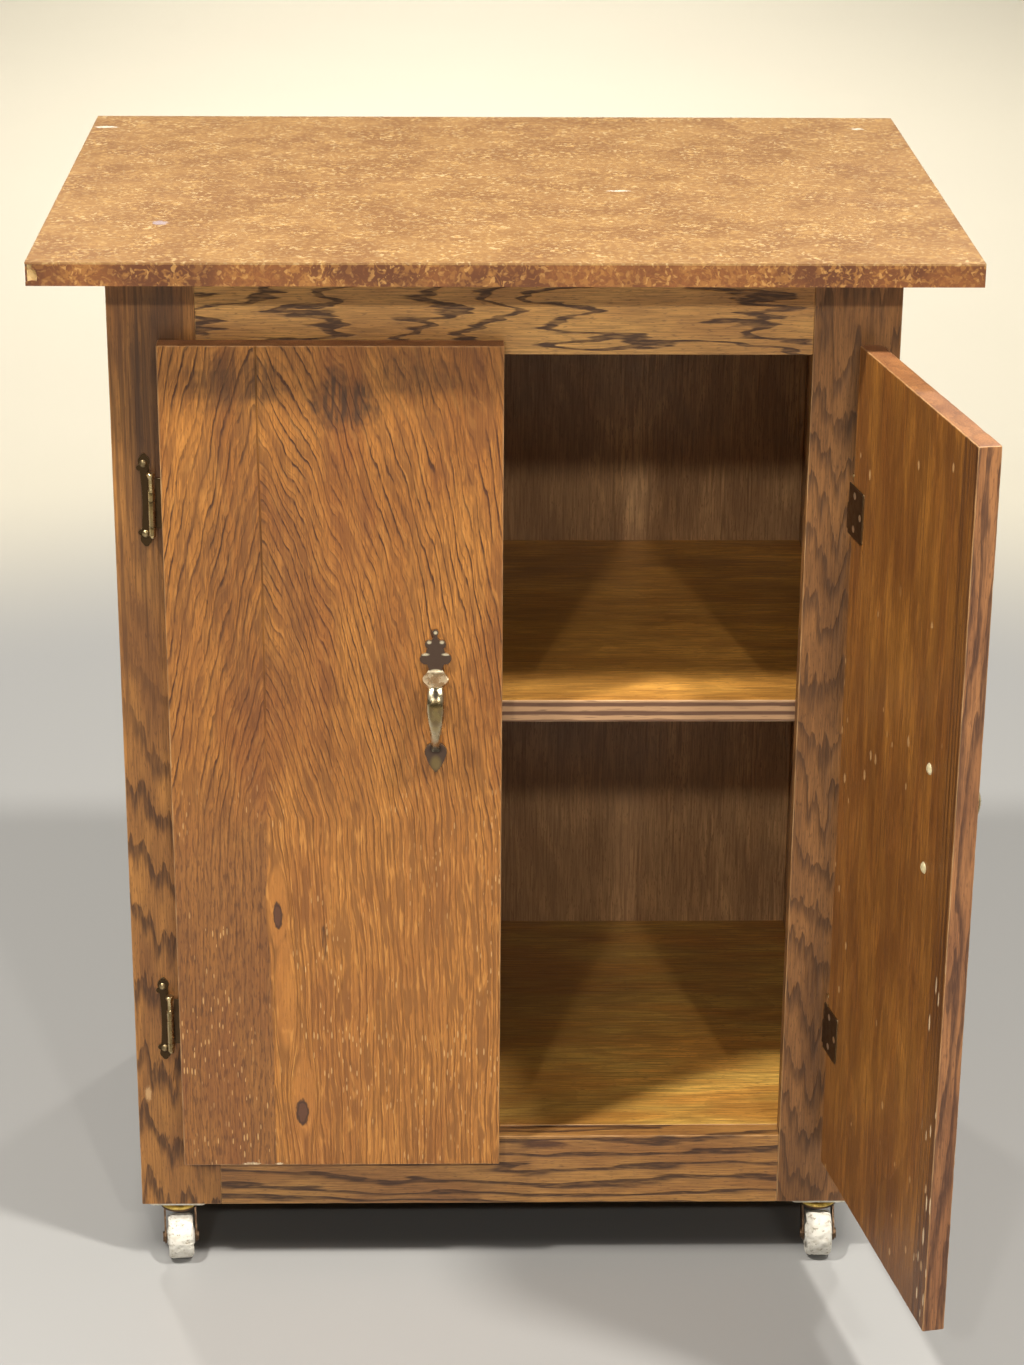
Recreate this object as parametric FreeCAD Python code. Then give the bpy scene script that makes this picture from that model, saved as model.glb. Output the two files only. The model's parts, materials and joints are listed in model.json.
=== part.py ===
import FreeCAD, Part
import math
import os

os.makedirs("parts", exist_ok=True)
V = FreeCAD.Vector

# A two-door rolling cabinet. Millimetres, +Z up. The origin is on the floor, midway between the
# cabinet's sides, in the plane of the face frame's front. The doors are in front of that plane (-Y).

# ---- Driving dimensions -------------------------------------------------------------------------
frame_width = 610.0            # over both stiles
frame_thickness = 19.0
stile_width = 67.5
top_rail_height = 67.0
bottom_rail_height = 65.0
underside_z = 51.0             # the casters lift the cabinet this far
frame_top_z = 868.0            # underside of the slab
cabinet_depth = 436.0          # face frame's front to the back panel's rear face

panel_thickness = 19.0
frame_scribe = 3.0             # how far the face frame stands proud of the side panels
back_thickness = 18.0
shelf_top_z = 507.0
cleat_size = 19.0
block_length = 60.0            # caster corner blocks, in plan

slab_overhang = 53.0           # on all four sides
slab_thickness = 18.0
laminate = 1.5
chip_width = 9.0               # laminate missing from the front edge at the left corner
chip_foot = 3.6                # height of the strip of edging left below that chip

door_width = 265.5
door_height = 713.0
door_bottom_z = 100.0
door_thickness = 17.5
meeting_gap = 1.5              # between the two doors
door_gap = 1.6                 # between a closed door and the face frame
right_door_open_deg = 100.8    # the right door is modelled open by this much

hinge_inset = 129.5            # hinge centre from the door's top or bottom edge
pivot_outset = 8.5             # pivot beyond the door's hinge edge
pivot_standoff = 6.5           # pivot in front of the face frame
barrel_radius = 2.8
pin_radius = 1.5
running_clearance = 0.05       # radial, wherever a pin or axle turns in a bore
leaf_thickness = 1.2

pull_place = {                 # distance from the door's free edge, height of the pull's tip
    "left": (53.0, 583.0),
    "right": (58.5, 580.5),
}
pull_screw_drops = (33.0, 113.0)   # the two pull screws, below the pull's tip

caster_inset_x = 30.0          # swivel axis from the face frame's edge
caster_inset_y = 20.0          # swivel axis from the cabinet's front or back
wheel_radius = 19.05
wheel_width = 22.0
caster_trail = 18.0
fork_leg_thickness = 1.6
axle_radius = 3.0
caster_turn_deg = {            # how far each wheel has swung from pointing straight forward
    "front_left": 6.0,
    "front_right": -1.0,
    "back_left": 9.0,
    "back_right": -7.0,
}

# ---- Derived positions --------------------------------------------------------------------------
half_frame = frame_width / 2
stile_inner_x = half_frame - stile_width
side_outer_x = half_frame - frame_scribe
side_inner_x = side_outer_x - panel_thickness
back_inner_y = cabinet_depth - back_thickness
bottom_rail_top_z = underside_z + bottom_rail_height
top_rail_bottom_z = frame_top_z - top_rail_height
deck_bottom_z = bottom_rail_top_z - panel_thickness
shelf_bottom_z = shelf_top_z - panel_thickness
slab_half_x = half_frame + slab_overhang
slab_front_y = -slab_overhang
slab_back_y = cabinet_depth + slab_overhang
core_top_z = frame_top_z + slab_thickness - laminate

hinge_edge_x = meeting_gap / 2 + door_width
door_back_y = -door_gap
door_front_y = door_back_y - door_thickness
pivot_x = hinge_edge_x + pivot_outset
pivot_y = -pivot_standoff
hinge_z = {
    "upper": door_bottom_z + door_height - hinge_inset,
    "lower": door_bottom_z + hinge_inset,
}

X, Y, Z = V(1, 0, 0), V(0, 1, 0), V(0, 0, 1)


# ---- Small helpers ------------------------------------------------------------------------------
def block(x_range, y_range, z_range):
    size = [hi - lo for lo, hi in (x_range, y_range, z_range)]
    return Part.makeBox(*size, V(x_range[0], y_range[0], z_range[0]))


def rod(radius, start, direction, length):
    return Part.makeCylinder(radius, length, start, direction)


def prism(points, push):
    """A closed polygon through the points, pushed along a vector."""
    return Part.Face(Part.makePolygon(points + points[:1])).extrude(push)


def fused(shapes):
    return shapes[0].multiFuse(shapes[1:]).removeSplitter()


def mirrored(shape):
    return shape.mirror(V(0, 0, 0), X)


def both_sides(shape):
    return [shape, mirrored(shape)]


def save(name, shape):
    shape.exportStep(os.path.join("parts", name + ".step"))


def save_group(name, shapes):
    save(name, Part.makeCompound(shapes))


def turned(edges, seat, direction):
    """A solid of revolution. Its edges are drawn in the X-Z plane; Z is then laid along direction."""
    whole = Part.Face(Part.Wire(edges)).revolve(V(0, 0, 0), Z, 360)
    whole.Placement = FreeCAD.Placement(seat, FreeCAD.Rotation(Z, direction))
    return whole


def lines_through(points):
    """Straight edges through (radius, height) points."""
    corners = [V(radius, 0, height) for radius, height in points]
    return [Part.makeLine(a, b) for a, b in zip(corners, corners[1:])]


def pan_head_screw(radius, length, head_radius, head_height, seat, direction):
    """A screw driven along direction, its domed head standing on the seat point."""
    bulge = V(head_radius * 0.66, 0, -head_height * 0.74)
    dome = Part.Arc(V(0, 0, -head_height), bulge, V(head_radius, 0, 0)).toShape()
    rest = [(head_radius, 0.0), (radius, 0.0), (radius, length), (0.0, length), (0.0, -head_height)]
    return turned([dome] + lines_through(rest), seat, direction)


def flat_head_screw(radius, length, head_radius, head_height, seat, direction):
    """A countersunk screw whose flat head is flush with the seat point."""
    profile = [(0.0, 0.0), (head_radius, 0.0), (radius, head_height), (radius, length), (0.0, length)]
    profile.append(profile[0])
    return turned(lines_through(profile), seat, direction)


# ---- Carcass ------------------------------------------------------------------------------------
slab_screw_radius = 2.0
slab_screw_length = 30.0
slab_screw_head = (4.0, 2.4)
slab_screw_margin = 50.0
hole_slack = 0.05              # radial slack of every screw hole and dowel hole


def slab_screw_places():
    middle_of_cleat = cleat_size / 2
    xs = (-slab_screw_margin * 4, 0.0, slab_screw_margin * 4)
    ys = (frame_thickness + middle_of_cleat, back_inner_y - middle_of_cleat)
    places = [(x, y) for x in xs for y in ys]
    side_x = side_inner_x - middle_of_cleat
    middle_y = (frame_thickness + back_inner_y) / 2
    return places + [(side_x, middle_y), (-side_x, middle_y)]


def slab_screws(slack=0.0):
    seat_z = frame_top_z - cleat_size
    head_radius, head_height = slab_screw_head
    return [
        flat_head_screw(slab_screw_radius + slack, slab_screw_length + slack,
                        head_radius + slack, head_height, V(x, y, seat_z), Z)
        for x, y in slab_screw_places()
    ]


dowel_radius = 4.0
dowel_length = 40.0
dowel_spacing = 34.0


def dowels(slack=0.0):
    rail_middles = (
        (bottom_rail_top_z + underside_z) / 2,
        (frame_top_z + top_rail_bottom_z) / 2,
    )
    start_x = stile_inner_x - dowel_length / 2 - slack
    pegs = []
    for middle in rail_middles:
        for offset in (-dowel_spacing / 2, dowel_spacing / 2):
            start = V(start_x, frame_thickness / 2, middle + offset)
            pegs += both_sides(rod(dowel_radius + slack, start, X, dowel_length + 2 * slack))
    return pegs


def caster_centres():
    x = half_frame - caster_inset_x
    back_y = cabinet_depth - caster_inset_y
    return {
        "front_left": (-x, caster_inset_y),
        "front_right": (x, caster_inset_y),
        "back_left": (-x, back_y),
        "back_right": (x, back_y),
    }


plate_size = (48.0, 38.0)
plate_thickness = 1.6
plate_hole_spacing = (36.0, 25.0)
plate_screw_radius = 1.9
plate_screw_length = 12.0
plate_screw_head = (3.6, 1.8)


def plate_screws(slack=0.0):
    screws = []
    seat_z = underside_z - plate_thickness
    for x, y in caster_centres().values():
        for side_x in (-0.5, 0.5):
            for side_y in (-0.5, 0.5):
                seat = V(x + side_x * plate_hole_spacing[0], y + side_y * plate_hole_spacing[1], seat_z)
                screws.append(pan_head_screw(plate_screw_radius + slack, plate_screw_length + slack,
                                             plate_screw_head[0], plate_screw_head[1], seat, Z))
    return screws


leaf_screw_radius = 1.4
leaf_screw_length = 12.0
frame_leaf_screw_x = pivot_x + 5.9
frame_leaf_screw_rises = (30.0, -27.5)
frame_leaf_screw_head = (3.1, 1.5)


def frame_leaf_screws(slack=0.0):
    screws = []
    for level in hinge_z.values():
        for rise in frame_leaf_screw_rises:
            seat = V(frame_leaf_screw_x, -leaf_thickness, level + rise)
            screws += both_sides(pan_head_screw(leaf_screw_radius + slack, leaf_screw_length + slack,
                                                *frame_leaf_screw_head, seat, Y))
    return screws


def build_face_frame():
    pockets = Part.makeCompound(dowels(hole_slack) + plate_screws(hole_slack)
                                + frame_leaf_screws(hole_slack))
    depth = (0.0, frame_thickness)
    stile = block((stile_inner_x, half_frame), depth, (underside_z, frame_top_z))
    rail_span = (-stile_inner_x, stile_inner_x)
    save("right_stile", stile.cut(pockets))
    save("left_stile", mirrored(stile).cut(pockets))
    save("top_rail", block(rail_span, depth, (top_rail_bottom_z, frame_top_z)).cut(pockets))
    save("bottom_rail", block(rail_span, depth, (underside_z, bottom_rail_top_z)).cut(pockets))
    save_group("frame_dowels", dowels())
    save_group("frame_leaf_screws", frame_leaf_screws())


def build_panels():
    pockets = Part.makeCompound(plate_screws(hole_slack))
    inside_x = (-side_inner_x, side_inner_x)
    inside_y = (frame_thickness, back_inner_y)
    side = block((side_inner_x, side_outer_x), (frame_thickness, cabinet_depth), (underside_z, frame_top_z))
    save("right_side_panel", side.cut(pockets))
    save("left_side_panel", mirrored(side).cut(pockets))
    back = block(inside_x, (back_inner_y, cabinet_depth), (underside_z, frame_top_z))
    save("back_panel", back.cut(pockets))
    save("deck_panel", block(inside_x, inside_y, (deck_bottom_z, bottom_rail_top_z)))
    save("shelf", block(inside_x, inside_y, (shelf_bottom_z, shelf_top_z)))


def cleat_ring(z_range, setback, front_strip):
    """Strips along the sides and the back, and along the front where asked; setback shortens them."""
    strip_x = (side_inner_x - cleat_size, side_inner_x)
    front_y = frame_thickness + (setback or (cleat_size if front_strip else 0.0))
    back_y = back_inner_y - (setback or cleat_size)
    strips = both_sides(block(strip_x, (front_y, back_y), z_range))
    reach = side_inner_x - setback
    strips.append(block((-reach, reach), (back_inner_y - cleat_size, back_inner_y), z_range))
    if front_strip:
        strips.append(block((-reach, reach), (frame_thickness, frame_thickness + cleat_size), z_range))
    return strips


def build_cleats():
    save_group("shelf_cleats", cleat_ring((shelf_bottom_z - cleat_size, shelf_bottom_z), 0.0, False))
    save_group("deck_cleats", cleat_ring((deck_bottom_z - cleat_size, deck_bottom_z), block_length, True))
    holes = Part.makeCompound(slab_screws(hole_slack))
    top_strips = cleat_ring((frame_top_z - cleat_size, frame_top_z), 0.0, True)
    save_group("top_cleats", [strip.cut(holes) for strip in top_strips])


def build_caster_blocks():
    pockets = Part.makeCompound(plate_screws(hole_slack))
    x_range = (side_inner_x - block_length, side_inner_x)
    z_range = (underside_z, deck_bottom_z)
    front = block(x_range, (frame_thickness, frame_thickness + block_length), z_range)
    back = block(x_range, (back_inner_y - block_length, back_inner_y), z_range)
    save_group("caster_blocks", [b.cut(pockets) for b in both_sides(front) + both_sides(back)])


# ---- Slab top -----------------------------------------------------------------------------------
def build_slab():
    core_x = slab_half_x - laminate
    core_y = (slab_front_y + laminate, slab_back_y - laminate)
    edge_z = (frame_top_z, core_top_z)
    core = block((-core_x, core_x), core_y, edge_z)
    save("slab_core", core.cut(Part.makeCompound(slab_screws(hole_slack))))
    save("slab_laminate", block((-slab_half_x, slab_half_x), (slab_front_y, slab_back_y),
                                (core_top_z, core_top_z + laminate)))

    side_y = (slab_front_y + laminate, slab_back_y)
    save("slab_right_edge", block((core_x, slab_half_x), side_y, edge_z))
    save("slab_left_edge", block((-slab_half_x, -core_x), side_y, edge_z))
    save("slab_back_edge", block((-core_x, core_x), (core_y[1], slab_back_y), edge_z))

    # The front edging has lost a ragged piece at its left end, and the core shows there.
    front = block((-slab_half_x, slab_half_x), (slab_front_y, core_y[0]), edge_z)
    chip_x = -slab_half_x + chip_width
    chip_z = frame_top_z + chip_foot
    step_x, step_z = 4.2, 4.5
    ragged_line = [
        (-slab_half_x - 1, chip_z - 0.8),
        (chip_x - step_x, chip_z + 0.6),
        (chip_x - 0.4, chip_z),
        (chip_x, chip_z + 4.0),
        (chip_x - 1.0, core_top_z - step_z),
        (chip_x - step_x, core_top_z - step_z + 0.7),
        (chip_x - step_x + 0.9, core_top_z + 1),
        (-slab_half_x - 1, core_top_z + 1),
    ]
    outline = [V(x, slab_front_y - 1, z) for x, z in ragged_line]
    save("slab_front_edge", front.cut(prism(outline, V(0, laminate + 2, 0))))
    save_group("slab_screws", slab_screws())


# ---- Hinges, in the place they have on a closed right-hand door -----------------------------------
leaf_height = 41.0
leaf_centre_drop = 2.5          # the door leaf sits this far below the hinge centre
leaf_reach = 28.0               # on the door's back, from its hinge edge
leaf_corner = 3.0
knuckle_gap = 0.3
barrel_bottom = -27.0           # barrel ends and knuckle joints, from the hinge centre
lower_joint = -20.0
upper_joint = 1.5
barrel_top = 8.5
neck_top = 19.5
cap_top = 24.0
neck_radius = 2.0
cap_radius = 3.5
strip_half_height = 30.0        # the frame leaf's face strip, less the lobes at its ends
strip_reach = 9.3               # its outer side, from the pin
strip_hollow_radius = 260.0     # one long shallow arc hollows that side
strip_hollow_depth = 1.6
strip_hollow_half_height = 24.0
# Round lobes at each end of the strip: out from the pin, up from the centre, radius.
strip_lobes = ((5.5, 32.0, 4.6), (9.2, 26.5, 2.4), (5.5, 35.6, 2.4))
# Door leaf screws: in from the door's hinge edge, up from the leaf's middle.
door_leaf_screw_places = ((8.0, 13.5), (8.0, -13.5), (22.5, 0.0))


def barrel_length(hinge_centre, low, high, radius=barrel_radius):
    return rod(radius, V(pivot_x, pivot_y, hinge_centre + low), Z, high - low)


def frame_leaf(centre):
    strip_outer_x = pivot_x + strip_reach
    flange_x = (pivot_x + barrel_radius - leaf_thickness, pivot_x + barrel_radius)
    on_frame = (-leaf_thickness, 0.0)
    strip_z = (centre - strip_half_height, centre + strip_half_height)
    pieces = [block((flange_x[0], strip_outer_x), on_frame, strip_z)]
    for side in (-1, 1):
        for out, rise, radius in strip_lobes:
            start = V(pivot_x + out, -leaf_thickness, centre + side * rise)
            pieces.append(rod(radius, start, Y, leaf_thickness))
    hollow_x = strip_outer_x + strip_hollow_radius - strip_hollow_depth
    hollow = rod(strip_hollow_radius, V(hollow_x, -2 * leaf_thickness, centre), Y, 3 * leaf_thickness)
    hollow = hollow.common(block((pivot_x, pivot_x + 2 * strip_reach),
                                 (-2 * leaf_thickness, leaf_thickness),
                                 (centre - strip_hollow_half_height, centre + strip_hollow_half_height)))
    knuckles = []
    for low, high in ((barrel_bottom, lower_joint), (upper_joint, barrel_top)):
        knuckles.append(barrel_length(centre, low, high))
        knuckles.append(block(flange_x, (pivot_y, 0.0), (centre + low, centre + high)))
    leaf = fused(pieces).cut(hollow)
    bore = barrel_length(centre, barrel_bottom - 1, barrel_top + 1, pin_radius + running_clearance)
    return fused([leaf] + knuckles).cut(bore).cut(Part.makeCompound(frame_leaf_screws(hole_slack)))


def door_leaf_screws(centre, slack=0.0):
    middle = centre - leaf_centre_drop
    surface_y = door_back_y + leaf_thickness
    return [
        flat_head_screw(leaf_screw_radius + slack, leaf_screw_length + slack, 2.9 + slack, 1.6,
                        V(hinge_edge_x - reach, surface_y, middle + rise), -Y)
        for reach, rise in door_leaf_screw_places
    ]


def door_leaf(centre):
    middle = centre - leaf_centre_drop
    outer_x = pivot_x - barrel_radius
    z_range = (middle - leaf_height / 2, middle + leaf_height / 2)
    on_door = (door_back_y, door_back_y + leaf_thickness)
    plate = block((hinge_edge_x - leaf_reach, outer_x), on_door, z_range)
    corners = [e for e in plate.Edges
               if e.Length < 1.01 * leaf_thickness and e.BoundBox.XMax < hinge_edge_x]
    plate = plate.makeFillet(leaf_corner, [e for e in corners if e.BoundBox.YLength > leaf_thickness / 2])
    low, high = lower_joint + knuckle_gap, upper_joint - knuckle_gap
    knuckle_z = (centre + low, centre + high)
    wrap = block((outer_x - leaf_thickness, pivot_x), on_door, knuckle_z)
    web = block((pivot_x - leaf_thickness, pivot_x), (pivot_y, door_back_y + leaf_thickness), knuckle_z)
    bore = barrel_length(centre, low - 1, high + 1, pin_radius + running_clearance)
    leaf = fused([plate, wrap, web, barrel_length(centre, low, high)]).cut(bore)
    return leaf.cut(Part.makeCompound(door_leaf_screws(centre, hole_slack)))


def hinge_pin(centre):
    """A pin with a turned finial: a ring on the barrel, a slim neck and a flared flat cap.

    Each row of the profile is a radius and a height from the hinge centre.
    """
    profile = [
        (0.0, barrel_bottom - 2.0),
        (1.8, barrel_bottom - 2.0),
        (2.3, barrel_bottom - 0.9),
        (2.3, barrel_bottom - 0.1),
        (pin_radius, barrel_bottom - 0.1),
        (pin_radius, barrel_top + 0.1),
        (barrel_radius, barrel_top + 0.1),
        (barrel_radius, barrel_top + 1.1),
        (2.6, barrel_top + 1.9),
        (neck_radius, barrel_top + 3.0),
        (neck_radius, neck_top - 1.0),
        (2.4, neck_top),
        (cap_radius, cap_top - 1.8),
        (cap_radius, cap_top - 0.6),
        (cap_radius - 0.6, cap_top),
        (0.0, cap_top),
    ]
    outline = [V(pivot_x + radius, pivot_y, centre + rise) for radius, rise in profile]
    face = Part.Face(Part.makePolygon(outline + outline[:1]))
    return face.revolve(V(pivot_x, pivot_y, 0), Z, 360)


# ---- Pull: a cast thumb-latch handle, built with its tip at the origin and the door at y = 0 -------
escutcheon = 2.6                # thickness of the flat leaf-shaped plates
foot_thickness = 3.0
tip_bead_radius = 2.4
thumb_rest_thickness = 3.0
thumb_rest_slope_deg = 32.0     # its outer end lies this far below level
thumb_rest_root = (-1.2, -33.5)  # y and z where it leaves the plate
pull_screw_radius = 2.0
pull_screw_grip = 2.0           # how far each screw enters the pull
pull_screw_head = (4.6, 2.0)    # radius and height
# Round lobes of the top plate: out from the middle, down from the tip, radius.
plate_lobes = ((5.0, 12.4, 3.3), (7.8, 24.5, 4.6))


def flat_disc(x, z, radius, thickness=escutcheon):
    return rod(radius, V(x, 0, z), -Y, thickness)


def arc_face(points):
    """A face between straight lines and three-point arcs: each item is a list of 2 or 3 (x, z) points."""
    edges = []
    for piece in points:
        corners = [V(x, 0, z) for x, z in piece]
        edges.append(Part.Arc(*corners).toShape() if len(corners) == 3 else Part.makeLine(*corners))
    return Part.Face(Part.Wire(edges))


def pull_top_plate():
    waist = arc_face([
        [(0.0, -5.0), (6.5, -16.0), (8.0, -26.0)],
        [(8.0, -26.0), (5.2, -33.0)],
        [(5.2, -33.0), (5.2, -50.0)],
        [(5.2, -50.0), (0.0, -53.0), (-5.2, -50.0)],
        [(-5.2, -50.0), (-5.2, -33.0)],
        [(-5.2, -33.0), (-8.0, -26.0)],
        [(-8.0, -26.0), (-6.5, -16.0), (0.0, -5.0)],
    ]).extrude(V(0, -escutcheon, 0))
    tip_bead = flat_disc(0.0, -tip_bead_radius, tip_bead_radius)
    tip_stem = block((-1.4, 1.4), (-escutcheon, 0.0), (-9.0, -3.0))
    lobes = [flat_disc(side * out, -down, radius) for out, down, radius in plate_lobes for side in (-1, 1)]
    return fused([waist, tip_bead, tip_stem] + lobes)


def pull_thumb_rest():
    """A flared tongue that stands out from the neck and slopes down."""
    tongue = arc_face([
        [(-4.6, 0.0), (4.6, 0.0)],
        [(4.6, 0.0), (10.3, 9.0)],
        [(10.3, 9.0), (0.0, 18.5), (-10.3, 9.0)],
        [(-10.3, 9.0), (-4.6, 0.0)],
    ]).extrude(V(0, -thumb_rest_thickness, 0))
    tongue.rotate(V(0, 0, 0), X, 90 + thumb_rest_slope_deg)
    tongue.translate(V(0, *thumb_rest_root))
    return tongue


def pull_grip():
    """A bowed bar: elliptical sections lofted along the bow. Rows are out, down, width, depth, lean."""
    stations = (
        (1.6, 40.5, 9.6, 6.0, -70.0),
        (9.0, 43.5, 12.0, 5.6, -58.0),
        (17.0, 50.0, 13.4, 5.2, -32.0),
        (20.6, 59.0, 13.6, 5.0, -8.0),
        (19.6, 70.0, 12.2, 4.8, 14.0),
        (14.6, 82.0, 9.6, 4.6, 27.0),
        (8.0, 93.0, 7.8, 4.4, 32.0),
        (1.8, 103.0, 7.4, 4.2, 30.0),
    )
    wires = []
    for out, down, width, depth, lean in stations:
        ellipse = Part.Ellipse(V(0, 0, 0), width / 2, depth / 2).toShape()
        ellipse.rotate(V(0, 0, 0), X, lean)
        ellipse.translate(V(0, -out, -down))
        wires.append(Part.Wire([ellipse]))
    return Part.makeLoft(wires, True)


def pull_foot():
    spade = arc_face([
        [(-3.6, -97.0), (3.6, -97.0)],
        [(3.6, -97.0), (8.3, -101.5), (7.6, -108.5)],
        [(7.6, -108.5), (4.6, -116.0), (0.0, -122.0)],
        [(0.0, -122.0), (-4.6, -116.0), (-7.6, -108.5)],
        [(-7.6, -108.5), (-8.3, -101.5), (-3.6, -97.0)],
    ])
    return spade.extrude(V(0, -foot_thickness, 0))


def pull(side):
    whole = fused([pull_top_plate(), pull_thumb_rest(), pull_grip(), pull_foot()])
    door_side = block((-30, 30), (0.0, 30.0), (-150, 30))
    edge, tip_z = pull_place[side]
    whole = whole.cut(door_side)
    whole.translate(V(meeting_gap / 2 + edge, door_front_y, tip_z))
    return whole.cut(Part.makeCompound(pull_screws(side, hole_slack)))


def pull_screws(side, slack=0.0):
    """Machine screws from the door's back into the pull."""
    edge, tip_z = pull_place[side]
    length = door_thickness + pull_screw_grip
    head_radius, head_height = pull_screw_head
    return [
        pan_head_screw(pull_screw_radius + slack, length + slack, head_radius, head_height,
                       V(meeting_gap / 2 + edge, door_back_y, tip_z - drop), -Y)
        for drop in pull_screw_drops
    ]


# ---- Doors: built closed on the right, then mirrored to the left or swung open ---------------------
def place_on_left(shape):
    return mirrored(shape)


def place_on_right(shape):
    opened = shape.copy()
    opened.rotate(V(pivot_x, pivot_y, 0), Z, right_door_open_deg)
    return opened


def build_doors():
    for side, place in (("left", place_on_left), ("right", place_on_right)):
        holes = list(pull_screws(side, hole_slack))
        leaf_screws = []
        for level, centre in hinge_z.items():
            save(f"{side}_{level}_door_leaf", place(door_leaf(centre)))
            leaf_screws += door_leaf_screws(centre)
            holes += door_leaf_screws(centre, hole_slack)
        panel = block((meeting_gap / 2, hinge_edge_x), (door_front_y, door_back_y),
                      (door_bottom_z, door_bottom_z + door_height))
        save(f"{side}_door_panel", place(panel.cut(Part.makeCompound(holes))))
        save(f"{side}_door_pull", place(pull(side)))
        save_group(f"{side}_pull_screws", [place(screw) for screw in pull_screws(side)])
        save_group(f"{side}_door_leaf_screws", [place(screw) for screw in leaf_screws])


def build_fixed_hinge_halves():
    for level, centre in hinge_z.items():
        for side, place in (("left", mirrored), ("right", lambda shape: shape)):
            save(f"{side}_{level}_frame_leaf", place(frame_leaf(centre)))
            save(f"{side}_{level}_hinge_pin", place(hinge_pin(centre)))


# ---- Casters: swivel axis at the origin, wheel trailing towards -Y ---------------------------------
race_radius = 15.0
race_depth = 3.0
fork_top_radius = 16.5
fork_top_z = (41.4, 45.4)
crown_rounding = 1.6
kingpin_radius = 3.0
kingpin_head = (5.2, 1.6)       # radius and height
plate_corner = 4.0
leg_gap = 1.2                   # between the wheel and each fork leg
axle_eye_radius = 6.2
axle_head = (4.6, 1.5)          # radius and thickness


def caster_plate():
    plate = block((-plate_size[0] / 2, plate_size[0] / 2), (-plate_size[1] / 2, plate_size[1] / 2),
                  (underside_z - plate_thickness, underside_z))
    upright = [e for e in plate.Edges if e.BoundBox.ZLength > plate_thickness / 2]
    plate = plate.makeFillet(plate_corner, upright)
    race_top = underside_z - plate_thickness
    race = Part.makeCone(race_radius - 2.0, race_radius, race_depth, V(0, 0, race_top - race_depth), Z)
    return fused([plate, race]).cut(rod(kingpin_radius + hole_slack, V(0, 0, 0), Z, underside_z))


def kingpin():
    top = underside_z - 0.2
    head_radius, head_height = kingpin_head
    head_z = fork_top_z[0] - head_height - 0.4
    head = rod(head_radius, V(0, 0, head_z), Z, head_height)
    return fused([head, rod(kingpin_radius, V(0, 0, head_z), Z, top - head_z)])


def fork():
    low, high = fork_top_z
    crown = rod(fork_top_radius, V(0, 0, low), Z, high - low)
    crown = crown.makeFillet(crown_rounding, [e for e in crown.Edges if e.BoundBox.ZMin > high - 0.1])
    inner_x = wheel_width / 2 + leg_gap
    inner_top = high - fork_leg_thickness
    shell = rod(fork_top_radius - fork_leg_thickness, V(0, 0, low - 1), Z, inner_top - low + 1)
    body = [crown.cut(shell)]
    leg_outline = [(-9.0, high - 2.5), (8.0, high - 2.5), (7.0, low - 5.0),
                   (-12.2, wheel_radius - 2.5), (-caster_trail - 6.0, wheel_radius + 1.5)]
    for side in (-1, 1):
        x = inner_x if side > 0 else -inner_x - fork_leg_thickness
        leg = prism([V(x, y, z) for y, z in leg_outline], V(fork_leg_thickness, 0, 0))
        eye = rod(axle_eye_radius, V(x, -caster_trail, wheel_radius), X, fork_leg_thickness)
        body += [leg, eye]
    bore = rod(axle_radius + hole_slack, V(-30, -caster_trail, wheel_radius), X, 60)
    pivot_hole = rod(kingpin_radius + running_clearance, V(0, 0, low - 2), Z, high - low + 4)
    return fused(body).cut(bore).cut(pivot_hole)


def axle():
    reach = wheel_width / 2 + leg_gap + fork_leg_thickness
    head_radius, head_thickness = axle_head
    shaft = rod(axle_radius, V(-reach, -caster_trail, wheel_radius), X, 2 * reach)
    heads = [rod(head_radius, V(x, -caster_trail, wheel_radius), X, head_thickness)
             for x in (-reach - head_thickness, reach)]
    return fused([shaft] + heads)


def wheel():
    """A turned wheel: rounded tread, dished faces and a hub that stands out a little."""
    half = wheel_width / 2
    bore = axle_radius + running_clearance
    shoulder = 3.0
    profile = [
        (bore, half + 0.7),
        (7.0, half + 0.7),
        (8.5, half - 1.6),
        (wheel_radius - 5.0, half - 1.6),
        (wheel_radius - shoulder, half),
        (wheel_radius - 0.8, half - 1.1),
        (wheel_radius, half - shoulder),
    ]
    ring = [(r, x) for r, x in profile] + [(r, -x) for r, x in reversed(profile)]
    outline = [V(x, -caster_trail, wheel_radius + r) for r, x in ring]
    face = Part.Face(Part.makePolygon(outline + outline[:1]))
    return face.revolve(V(0, -caster_trail, wheel_radius), X, 360)


def build_casters():
    pins = []
    for name, (x, y) in caster_centres().items():
        for label, shape in (("fork", fork()), ("axle", axle()), ("wheel", wheel())):
            shape.rotate(V(0, 0, 0), Z, caster_turn_deg[name])
            shape.translate(V(x, y, 0))
            save(f"{name}_{label}", shape)
        plate = caster_plate()
        plate.translate(V(x, y, 0))
        save(f"{name}_caster_plate", plate.cut(Part.makeCompound(plate_screws(hole_slack))))
        pin = kingpin()
        pin.translate(V(x, y, 0))
        pins.append(pin)
    save_group("caster_kingpins", pins)
    save_group("caster_plate_screws", plate_screws())


build_face_frame()
build_panels()
build_cleats()
build_caster_blocks()
build_slab()
build_fixed_hinge_halves()
build_doors()
build_casters()
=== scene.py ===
import json
import math

import bpy
import numpy as np
from mathutils import Matrix, Vector, noise

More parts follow.
